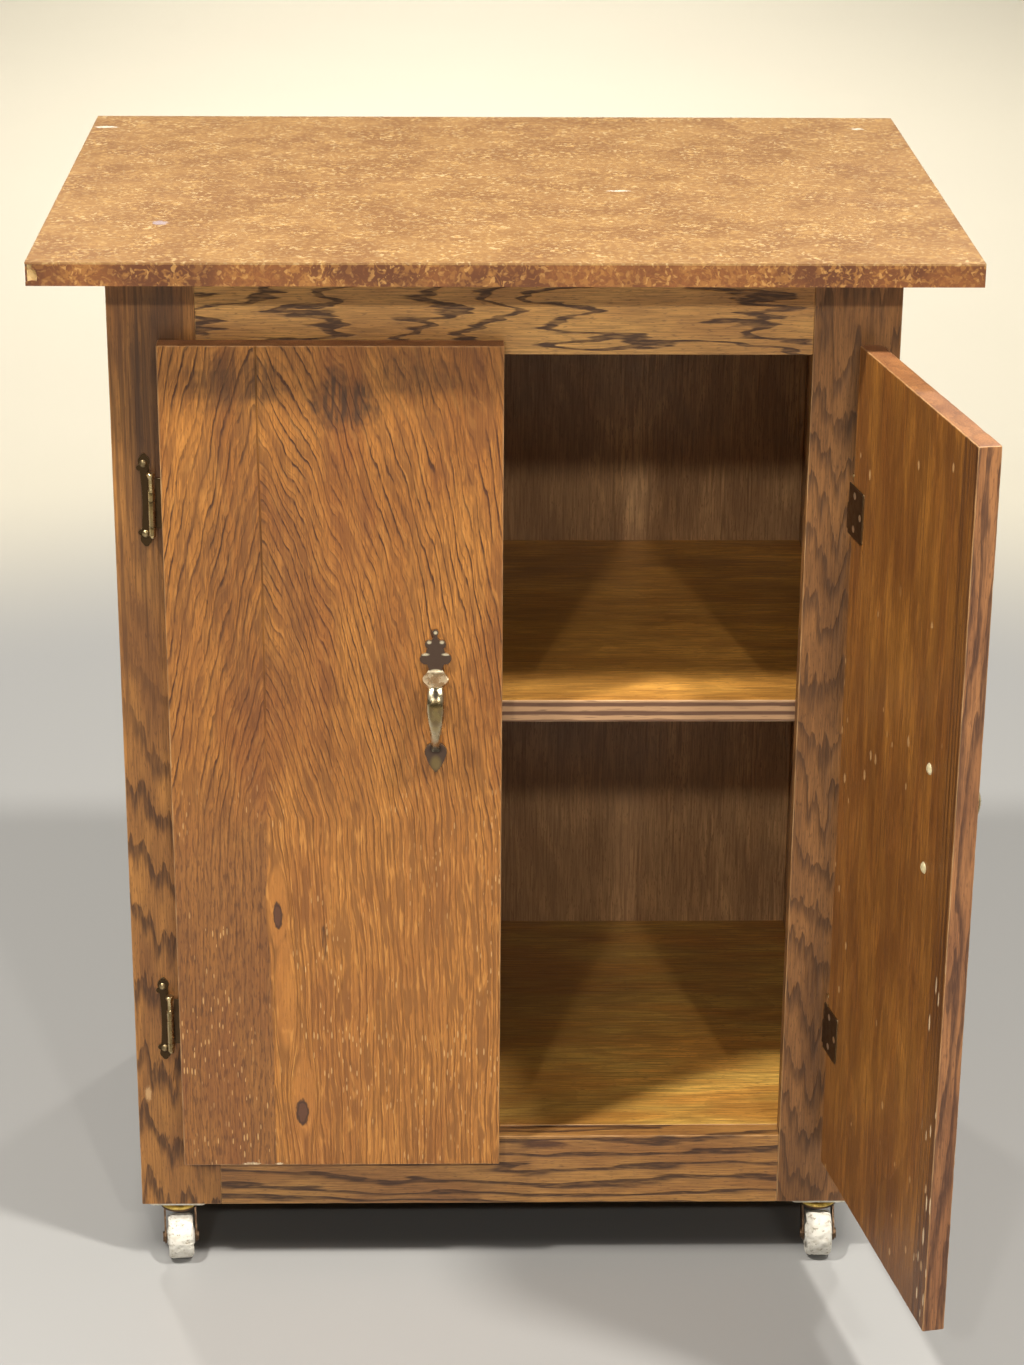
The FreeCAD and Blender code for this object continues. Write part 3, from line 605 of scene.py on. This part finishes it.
left_face = door_face(
    "left_door_face", -0.1895,
    knots=(((-0.183, 0.333), (0.0046, 0.0150)), ((-0.166, 0.151), (0.0065, 0.0150))),
    islands=(((-0.183, 0.340), (0.013, 0.060)), ((-0.178, 0.262), (0.013, 0.085)),
             ((-0.164, 0.165), (0.015, 0.060))),
    smudges=(((-0.123, 0.768), (0.032, 0.030), 0.85, STAIN),
             ((-0.205, 0.785), (0.055, 0.026), 0.55, STAIN),
             ((-0.070, 0.790), (0.040, 0.024), 0.45, STAIN),
             ((-0.205, 0.610), (0.085, 0.200), 0.26, STAIN),
             ((-0.145, 0.311), (0.0035, 0.022), 0.8, STAIN),
             ((-0.210, 0.1012), (0.009, 0.0022), 1.3, CHIPPED),
             ((-0.186, 0.1010), (0.004, 0.0018), 1.3, CHIPPED)),
    seed=5.0,
)
right_face = door_face(
    "right_door_face", 0.118,
    knots=(((0.121, 0.560), (0.0048, 0.0125)),),
    islands=(((0.122, 0.550), (0.014, 0.070)),),
    smudges=(((0.180, 0.780), (0.045, 0.024), 0.55, STAIN),),
    seed=57.0,
)
inner_face = plywood_face("door_inner_face", INNER_PALETTE, 101.0, wave=2.0, contrast=0.36,
                          wear=1.0, specks=0.03, strip=(-0.04, 0.030))
lip_oak = plain_sawn("door_lip_oak", LIP_PALETTE, (3.0, 95.0, 4.0), 2.6, 113.0, width=0.55,
                     soft=0.6, strength=0.74, wear=0.9)

top_oak = plain_sawn("door_top_oak", LIP_PALETTE, (3.0, 40.0, 4.0), 2.0, 131.0, width=0.55,
                     soft=0.9, strength=0.30, wear=1.0)

left_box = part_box("left_door_panel")
right_box = (Vector((-left_box[1].x, left_box[0].y, left_box[0].z)),
             Vector((-left_box[0].x, left_box[1].y, left_box[1].z)))
opened = (Matrix.Translation(door_pivot) @ Matrix.Rotation(open_angle, 4, "Z")
          @ Matrix.Translation(-door_pivot))
replace_board("left_door_panel",
              {"front": left_face, "back": inner_face, "top": top_oak, "other": lip_oak},
              radius=0.9 * MM, cell=6 * MM, wear=0.5 * MM)
replace_board("right_door_panel",
              {"front": right_face, "back": inner_face, "top": top_oak, "other": lip_oak},
              radius=0.9 * MM, cell=6 * MM, wear=0.5 * MM, box=right_box, turn=opened)


# ---- Slab ---------------------------------------------------------------------------------------
def burl(name, base, ruddy, gold, cream, gloss, figure, marks=()):
    """Printed burl figure: soft clouds, nested curls and short pale flecks.

    figure, 0 to 1, says how much of the surface lies in patches where curls and flecks are
    stronger. marks are (centre, radii, share, colour), seen from above.
    """
    g = Graph(name)
    p = g.place()
    bend = g.node("TexNoise", {"Vector": p, "Scale": 90.0, "Detail": 2.0}, output=1)
    shift = g.node("VectorMath", {0: bend, 1: (0.5, 0.5, 0.5)}, operation="SUBTRACT")
    shift = g.node("VectorMath", {0: shift, 3: 0.009}, operation="SCALE")
    q = g.node("VectorMath", {0: p, 1: shift}, operation="ADD")
    patch = g.step(g.blobs(p, 0.026, 4.0, detail=4.0), 0.60 - figure * 0.26, 0.72 - figure * 0.14)
    nested = g.math("PINGPONG", g.blobs(q, 0.016, 2.0, detail=1.0) * 17.0, 1.0)
    curl = g.step(nested, 0.55, 0.95) * g.step(g.blobs(p, 0.0040, 3.0), 0.40, 0.56)
    fleck = g.step(g.blobs(q, 0.0056, 9.0), 0.52, 0.62)
    speck = g.step(g.blobs(q, 0.0038, 13.0, detail=1.0), 0.57, 0.67)
    grain = g.blobs(q, 0.0022, 7.0, detail=3.0)
    cloud = g.step(g.blobs(p, 0.045, 6.0, detail=3.0), 0.36, 0.66)
    color = g.mix(cloud, ruddy, base)
    color = g.mix(g.step(grain, 0.60, 0.34) * 0.42, color, ruddy)
    color = g.mix(fleck * (0.28 + patch * 0.26), color, gold)
    color = g.mix(curl * (0.10 + patch * 0.40), color, gold)
    color = g.mix(speck * (0.22 + patch * 0.40), color, cream)
    for centre, radii, share, tone in marks:
        offset = tuple(-c / r for c, r in zip(centre, radii)) + (0.0,)
        scale = (1 / radii[0], 1 / radii[1], 0.0)
        near = g.node("Mapping", {"Vector": p, "Location": offset, "Scale": scale})
        away = g.node("VectorMath", {0: near}, output="Value", operation="LENGTH")
        away = away + (g.blobs(p, 0.004, 23.0) - 0.5) * 1.2
        color = g.mix(g.step(away, 1.0, 0.5) * share, color, tone)
    roughness = gloss + g.blobs(p, 0.06, 16.0) * 0.12
    height = g.blobs(p, 0.002, 19.0) * 0.02
    return g.finish(color, roughness, height, Coat_Weight=0.3, Coat_Roughness=0.22)


slab_top = burl("slab_top_burl", srgb(166, 124, 76), srgb(144, 102, 62), srgb(204, 162, 100),
                srgb(224, 196, 144), 0.30, 0.62,
                marks=(((-0.268, 0.074), (0.008, 0.008), 0.7, srgb(176, 164, 176)),
                       ((-0.346, 0.440), (0.012, 0.005), 0.8, srgb(238, 232, 216)),
                       ((0.322, 0.440), (0.006, 0.004), 0.8, srgb(238, 232, 216)),
                       ((0.095, 0.190), (0.012, 0.003), 0.7, srgb(246, 240, 224))))
slab_edge = burl("slab_edge_burl", srgb(138, 84, 42), srgb(98, 54, 28), srgb(178, 124, 62),
                 srgb(204, 154, 88), 0.30, 0.9)
paint(slab_top, "slab_laminate")
paint(slab_edge, "slab_front_edge", "slab_back_edge", "slab_left_edge", "slab_right_edge")


def particle_board(name):
    """Pressed chips, in two straw colours."""
    g = Graph(name)
    p = g.place()
    chips = g.node("TexVoronoi", {"Vector": p, "Scale": 320.0}, output="Color")
    tone = g.split(chips)[0]
    color = g.mix(tone, srgb(196, 156, 98), srgb(232, 204, 148))
    color = g.mix(g.step(g.blobs(p, 0.004, 3.0), 0.55, 0.7) * 0.6, color, srgb(168, 122, 70))
    return g.finish(color, 0.8, tone * 0.15, Coat_Weight=0.0)


def softwood(name):
    """Plain pale wood for dowels, cleats and caster blocks."""
    g = Graph(name)
    p = g.place()
    fibre = g.streaks(p, 0.004, 0.06, 2.0, detail=3.0)
    color = g.mix(g.step(fibre, 0.35, 0.65), srgb(190, 148, 96), srgb(214, 178, 124))
    return g.finish(color, 0.7, fibre * 0.1, Coat_Weight=0.0)


paint(particle_board("particle_board"), "slab_core")
paint(softwood("softwood"), "frame_dowels", "shelf_cleats", "deck_cleats", "top_cleats",
      "caster_blocks")


# ---- Metal and rubber ---------------------------------------------------------------------------
def metal(name, bright, dull, roughness, metallic=1.0):
    """Plated metal with dull blotches."""
    g = Graph(name)
    p = g.place()
    blot = g.step(g.blobs(p, 0.006, 1.0, detail=3.0), 0.38, 0.64)
    color = g.mix(blot * 0.5, bright, dull)
    shine = roughness + blot * 0.18 + g.blobs(p, 0.002, 5.0) * 0.08
    return g.finish(color, shine, g.blobs(p, 0.0015, 8.0) * 0.03, Metallic=metallic)


def antique(name, tarnished, body, rubbed, face, levels, roughness, turned_back=False, accents=()):
    """Antiqued brass: dark on the flat parts close to the wood, bright on every edge, partly rubbed
    and partly a painted highlight.

    face is how far forward the wood lies, and levels are the heights above it between which the
    dark ground gives way to the body colour. accents are spots of (centre, radii, share, colour).
    turned_back is for a part on the opened door, whose places are then read as if it were shut.
    """
    g = Graph(name)
    p = g.place()
    normal = g.node("TexCoord", output="Normal")
    if turned_back:
        spin = (0.0, 0.0, -open_angle)
        shift = door_pivot - Matrix.Rotation(-open_angle, 3, "Z") @ door_pivot
        p = g.node("Mapping", {"Vector": p, "Location": shift, "Rotation": spin})
        normal = g.node("Mapping", {"Vector": normal, "Rotation": spin})
    facing = 0.0 - g.split(normal)[1]
    height = 0.0 - g.split(p)[1] - face
    blot = g.step(g.blobs(p, 0.007, 1.0), 0.36, 0.64)
    ground = g.step(height, levels[1], levels[0])
    color = g.mix(blot * 0.35, body, tarnished)
    color = g.mix(ground, color, tarnished)
    # An edge is where the surface turns away from the front, but not so far that it faces back.
    edge = g.step(facing, 0.965, 0.80) * g.step(facing, -0.1, 0.25)
    # The edges are painted bright: partly rubbed brass, partly a painted highlight.
    color = g.mix(edge * (0.40 + ground * 0.25 + blot * 0.2), color, rubbed)
    # Spots of colour; on the pulls most are painted highlights, and one is a painted shadow.
    for centre, radii, share, tone in accents:
        color = g.mix(g.spot(p, centre, radii) * share, color, tone)
    shine = roughness + blot * 0.10 + ground * 0.14
    return g.finish(color, shine, g.blobs(p, 0.0012, 8.0) * 0.04, Metallic=1.0)


def ease_edges(width, *nodes):
    """Rounds the sharp edges of CAD parts so that they catch the light."""
    for name in nodes:
        made = frame["nodes"][name]
        weld = made.modifiers.new("weld", "WELD")
        weld.merge_threshold = 0.01 * MM
        bevel = made.modifiers.new("bevel", "BEVEL")
        bevel.width = width
        bevel.segments = 3
        bevel.limit_method = "ANGLE"
        bevel.angle_limit = math.radians(32)
        bevel.harden_normals = True


# The rubbed colours paint edges bright, partly as rubbed brass and partly as a painted highlight; on
# the pulls the same colour also paints highlight spots.
PULL_DARK, PULL_BODY, PULL_RUBBED_AND_HIGHLIGHT = srgb(104, 86, 76), srgb(150, 130, 88), srgb(250, 238, 206)
HINGE_DARK, HINGE_BODY, HINGE_RUBBED_AND_HIGHLIGHT = srgb(76, 60, 42), srgb(150, 128, 88), srgb(236, 218, 172)
LEAF_DARK = srgb(92, 74, 54)
# The dark of the painted shadow under each thumb rest, and of the dark band at the top of each
# pull's foot.
SHADOW_AND_BAND_DARK = srgb(44, 36, 34)
# Marks on a pull, in millimetres from its tip: across, up, and their radii; then share and colour.
# Most are painted highlights on the bead, about the lobes and on the thumb rest. Then come a painted
# shadow under the thumb rest, a dark band at the top of the foot, and the body colour lower on the
# foot.
PULL_MARKS = (
    (0.0, -2.4, 2.0, 2.0, 0.9, PULL_RUBBED_AND_HIGHLIGHT),
    (-5.0, -10.6, 2.4, 1.9, 0.9, PULL_RUBBED_AND_HIGHLIGHT),
    (5.0, -10.6, 2.4, 1.9, 0.9, PULL_RUBBED_AND_HIGHLIGHT),
    (-8.2, -20.8, 4.4, 1.5, 0.9, PULL_RUBBED_AND_HIGHLIGHT),
    (8.2, -20.8, 4.4, 1.5, 0.9, PULL_RUBBED_AND_HIGHLIGHT),
    (0.0, -34.0, 5.0, 1.2, 0.7, PULL_RUBBED_AND_HIGHLIGHT),
    (0.0, -44.4, 12.0, 1.6, 0.8, PULL_RUBBED_AND_HIGHLIGHT),
    (0.0, -48.6, 3.6, 5.6, 0.9, SHADOW_AND_BAND_DARK),
    (0.0, -101.5, 7.0, 5.5, 0.8, SHADOW_AND_BAND_DARK),
    (0.0, -114.0, 6.0, 9.0, 0.8, PULL_BODY),
)
door_front = -left_box[0].y
# Across and up to the tip of each pull, with both doors shut.
pull_tips = {"left": (-53.75 * MM, 583.0 * MM), "right": (59.25 * MM, 580.5 * MM)}
screw_steel = metal("screw_steel_finish", srgb(236, 230, 212), srgb(186, 178, 158), 0.25)
pale_screws = metal("pale_screw_finish", srgb(250, 238, 196), srgb(206, 190, 140), 0.3,
                    metallic=0.4)
dark_screws = metal("dark_screw_finish", srgb(170, 150, 112), srgb(92, 76, 54), 0.28)
for side, (tip_x, tip_z) in pull_tips.items():
    accents = [((tip_x + x * MM, tip_z + z * MM), (wide * MM, tall * MM), share, tone)
               for x, z, wide, tall, share, tone in PULL_MARKS]
    pull_brass = antique(side + "_pull_finish", PULL_DARK, PULL_BODY, PULL_RUBBED_AND_HIGHLIGHT, door_front,
                         (3.4 * MM, 5.5 * MM), 0.22, turned_back=side == "right", accents=accents)
    paint(pull_brass, side + "_door_pull")
    paint(pale_screws, side + "_pull_screws")
    paint(screw_steel, side + "_door_leaf_screws")
    ease_edges(0.7 * MM, side + "_door_pull")
leaf_brass = antique("hinge_leaf_finish", HINGE_DARK, HINGE_BODY, HINGE_RUBBED_AND_HIGHLIGHT, 0.0,
                     (2.0 * MM, 4.0 * MM), 0.22)
pin_brass = metal("hinge_pin_finish", srgb(206, 186, 140), srgb(112, 92, 60), 0.16)
for side in ("left", "right"):
    inner_leaf = antique(side + "_door_leaf_finish", LEAF_DARK, HINGE_BODY, HINGE_RUBBED_AND_HIGHLIGHT, 0.0,
                         (2.0 * MM, 3.6 * MM), 0.24, turned_back=side == "right")
    for end in ("upper", "lower"):
        start = side + "_" + end
        paint(leaf_brass, start + "_frame_leaf")
        paint(inner_leaf, start + "_door_leaf")
        paint(pin_brass, start + "_hinge_pin")
        ease_edges(0.35 * MM, start + "_frame_leaf", start + "_door_leaf")
paint(dark_screws, "frame_leaf_screws")
paint(screw_steel, "slab_screws", "caster_plate_screws", "caster_kingpins")
corners = [end + "_" + side for end in ("front", "back") for side in ("left", "right")]


def caster_plating(name, upper, lower, level, roughness):
    """Blotchy plating, of the upper pair of colours above a level and the lower pair below it."""
    g = Graph(name)
    p = g.place()
    below = g.step(g.split(p)[2], level + 0.2 * MM, level - 0.2 * MM)
    blot = g.step(g.blobs(p, 0.004, 1.0, detail=3.0), 0.38, 0.64)
    color = g.mix(below, g.mix(blot * 0.5, *upper), g.mix(blot * 0.5, *lower))
    return g.finish(color, roughness + blot * 0.15, blot * 0.03, Metallic=0.9)


# The worn wheel's profile. Its bore is a little wider than the axle, so that the two never touch.
WHEEL_BORE, WHEEL_HUB, WHEEL_HALF_WIDTH = 3.05 * MM, 7.0 * MM, 11.0 * MM
# From the hub out, in millimetres: how far out of the hub, and how far in from the wheel's side.
HUB_PROFILE = ((0.0, -0.6), (1.2, 0.6), (1.8, 1.6))
# On to the middle of the tread: how far below the tread, and how far in from the wheel's side.
RIM_PROFILE = ((5.0, 1.6), (3.2, 0.3), (2.2, 0.3), (1.2, 0.9), (0.4, 2.0), (0.0, 3.6), (0.0, 5.5),
               (0.0, 7.5), (0.0, 9.5))
WHEEL_STEPS = 96
RIM_DEPTH = 4.0 * MM                      # only the rim, this far down from the tread, is worn
COARSE_CHIPS, FINE_CHIPS = 260.0, 700.0   # waves per metre of the noise that chips it
CHIP_FROM, CHIP_DEPTH = 0.12, 3.0 * MM    # the noise's level where chips start, and their depth
DENT_FROM, DENT_SHARE = 0.05, 0.22        # the level below 0 where the sides draw in, and how far


def worn_wheel(corner):
    """A cast wheel with a rounded tread, dished faces and a chipped, uneven rim."""
    spin = joints[corner + "_wheel_spin"]
    centre, axis = Vector(spin["pos_m"]), Vector(spin["axis"]).normalized()
    low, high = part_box(corner + "_wheel")
    radius = (high.z - low.z) / 2
    half = WHEEL_HALF_WIDTH
    up = Vector((0, 0, 1))
    side = axis.cross(up)
    outline = [(WHEEL_BORE, half + 0.6 * MM)]
    outline += [(WHEEL_HUB + out * MM, half - inward * MM) for out, inward in HUB_PROFILE]
    outline += [(radius - down * MM, half - inward * MM) for down, inward in RIM_PROFILE]
    outline += [(r, -x) for r, x in reversed(outline)]
    points, faces = [], []
    for turn_step in range(WHEEL_STEPS):
        angle = 2 * math.pi * turn_step / WHEEL_STEPS
        spoke = up * math.cos(angle) + side * math.sin(angle)
        for r, x in outline:
            spot = spoke * r + axis * x
            loss = noise.noise(spot * COARSE_CHIPS + centre * 9.0)
            loss = loss + 0.6 * noise.noise(spot * FINE_CHIPS)
            rim_share = max(0.0, (r - (radius - RIM_DEPTH)) / RIM_DEPTH)
            r -= max(0.0, loss - CHIP_FROM) * CHIP_DEPTH * rim_share
            x *= 1.0 - max(0.0, -loss - DENT_FROM) * DENT_SHARE * rim_share
            points.append(centre + spoke * r + axis * x)
    rows = len(outline)
    for turn_step in range(WHEEL_STEPS):
        this, after = turn_step * rows, (turn_step + 1) % WHEEL_STEPS * rows
        for row in range(rows):
            onward = (row + 1) % rows
            faces.append((this + row, this + onward, after + onward, after + row))
    mesh = bpy.data.meshes.new(corner + "_wheel_worn")
    mesh.from_pydata(points, [], faces)
    mesh.polygons.foreach_set("use_smooth", [True] * len(faces))
    mesh.materials.append(white)
    wheel = put(corner + "_wheel_worn", mesh)
    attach(wheel, frame["nodes"][corner + "_wheel"]["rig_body"])
    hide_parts(corner + "_wheel")


def wheel_white(name):
    """Dirty white, with small brown chips."""
    g = Graph(name)
    p = g.place()
    dirt = g.step(g.blobs(p, 0.005, 2.0, detail=4.0), 0.48, 0.70)
    chips = g.step(g.blobs(p, 0.0028, 7.0), 0.60, 0.68)
    color = g.mix(dirt * 0.5, srgb(222, 218, 208), srgb(184, 175, 156))
    color = g.mix(chips * 0.6, color, srgb(142, 126, 102))
    height = g.blobs(p, 0.004, 3.0, detail=4.0) * 0.5 - chips * 0.25
    return g.finish(color, 0.62, height, Coat_Weight=0.0)


white = wheel_white("worn_white_wheel")
ZINC = (srgb(226, 220, 204), srgb(158, 150, 134))
YELLOW_PLATE = (srgb(236, 206, 112), srgb(150, 120, 62))
BROWN_PLATE = (srgb(104, 82, 62), srgb(58, 44, 34))
# Where the plating changes: just under the flat plate, and part way up the top of the fork.
PLATE_LEVEL, FORK_LEVEL = 48.7 * MM, 43.2 * MM
plating = caster_plating("caster_plate_finish", ZINC, YELLOW_PLATE, PLATE_LEVEL, 0.30)
fork_brown = caster_plating("fork_finish", YELLOW_PLATE, BROWN_PLATE, FORK_LEVEL, 0.36)
for corner in corners:
    paint(plating, corner + "_caster_plate")
    paint(fork_brown, corner + "_fork")
    paint(fork_brown, corner + "_axle")
    worn_wheel(corner)


# ---- Floor, light and camera --------------------------------------------------------------------
FLOOR_REACH = 14.0
FLOOR_NEAR, FLOOR_FAR = srgb(160, 160, 160), srgb(208, 202, 186)
FLOOR_SHADE, FLOOR_CLOUD = srgb(40, 40, 40), srgb(140, 140, 142)
NEAR_END, FAR_START = 1.5, 2.3     # between these distances the near colour gives way to the far
# The painted shade under the cabinet: each pair is how far out it is full, and where it ends.
SHADE_WIDTH, SHADE_DEPTH, SHADE_MIDDLE = (0.27, 0.33), (0.19, 0.225), 0.22


def pale_floor():
    """A pale smooth floor, greyer near the cabinet and darkened underneath it."""
    g = Graph("pale_floor")
    p = g.place()
    x, y, _ = g.split(p)
    far = g.math("SQRT", x * x + y * y)
    color = g.mix(g.step(far, NEAR_END, FAR_START), FLOOR_NEAR, FLOOR_FAR)
    shade = g.step(g.math("ABSOLUTE", x), SHADE_WIDTH[1], SHADE_WIDTH[0])
    depth = g.math("ABSOLUTE", y - SHADE_MIDDLE)
    shade = shade * g.step(depth, SHADE_DEPTH[1], SHADE_DEPTH[0])
    color = g.mix(shade * 0.75, color, FLOOR_SHADE)
    color = g.mix(g.blobs(p, 0.5, 1.0) * 0.06, color, FLOOR_CLOUD)
    return g.finish(color, 0.42, g.blobs(p, 0.01, 2.0) * 0.05, Coat_Weight=0.0)


floor_mesh = bpy.data.meshes.new("floor")
floor_corners = [(-FLOOR_REACH, -FLOOR_REACH, 0), (FLOOR_REACH, -FLOOR_REACH, 0),
                 (FLOOR_REACH, FLOOR_REACH, 0), (-FLOOR_REACH, FLOOR_REACH, 0)]
floor_mesh.from_pydata(floor_corners, [], [(0, 1, 2, 3)])
floor_mesh.materials.append(pale_floor())
floor = put("floor", floor_mesh)

LAMP_COLOR = (1.0, 0.955, 0.87)
LAMP_SIZE, LAMP_HEIGHT = 0.32, 3.8
LAMP_COLUMNS = (-1.55, 1.55)
LAMP_ROWS = {-5.5: 94.0, -1.05: 136.0, 3.4: 50.0}    # watts of each lamp in the row at that y
LAMP_AIM = Vector((0, 0, 0.5))
for y, watts in LAMP_ROWS.items():
    for x in LAMP_COLUMNS:
        light = bpy.data.lights.new("lamp", "AREA")
        light.shape = "DISK"
        light.size = LAMP_SIZE
        light.energy = watts
        light.color = LAMP_COLOR
        lamp = put("lamp", light)
        lamp.location = (x, y, LAMP_HEIGHT)
        lamp.rotation_euler = (LAMP_AIM - lamp.location).to_track_quat("-Z", "Y").to_euler()

# Narrow lamps, aimed straight down round the room, that only keep the far floor even: x, y, watts.
WASH_LAMPS = ((0.0, 4.4, 62.0), (0.0, 7.4, 62.0), (-5.5, 5.5, 60.0), (5.5, 5.5, 60.0),
              (-6.5, 0.5, 60.0), (6.5, 0.5, 60.0), (-5.0, -5.5, 60.0), (5.0, -5.5, 60.0),
              (0.0, -8.5, 60.0))
WASH_SIZE, WASH_HEIGHT, WASH_SPREAD = 2.0, 5.0, math.radians(75)
for x, y, watts in WASH_LAMPS:
    wash_light = bpy.data.lights.new("floor_wash", "AREA")
    wash_light.size = WASH_SIZE
    wash_light.spread = WASH_SPREAD
    wash_light.energy = watts
    wash_light.color = LAMP_COLOR
    wash = put("floor_wash", wash_light)
    wash.location = (x, y, WASH_HEIGHT)

ROOM_GLOW, ROOM_GLOW_STRENGTH = (1.0, 0.95, 0.84, 1.0), 0.10
world = bpy.data.worlds.new("studio")
world.use_nodes = True
world.node_tree.nodes["Background"].inputs["Color"].default_value = ROOM_GLOW
world.node_tree.nodes["Background"].inputs["Strength"].default_value = ROOM_GLOW_STRENGTH
bpy.context.scene.world = world
bpy.context.scene.view_settings.view_transform = "Standard"

# The camera, as fitted to the photograph. Its angles are in degrees: down, to the right, and tilt.
CAMERA_PLACE = (-0.0482, -2.3572, 1.4596)
CAMERA_ANGLES = (21.52, 1.35, 0.44)
camera_data = bpy.data.cameras.new("camera")
camera_data.sensor_width = 36.0
camera_data.lens = 83.48
camera = put("camera", camera_data)
pitch, yaw, roll = (math.radians(a) for a in CAMERA_ANGLES)
ahead = Vector((math.sin(yaw) * math.cos(pitch), math.cos(yaw) * math.cos(pitch), -math.sin(pitch)))
sideways = Vector((math.cos(yaw), -math.sin(yaw), 0))
upward = sideways.cross(ahead)
camera_x = sideways * math.cos(roll) + upward * math.sin(roll)
camera_y = upward * math.cos(roll) - sideways * math.sin(roll)
camera_turn = Matrix((camera_x, camera_y, -ahead)).transposed().to_4x4()
camera.matrix_world = Matrix.Translation(CAMERA_PLACE) @ camera_turn
bpy.context.scene.camera = camera
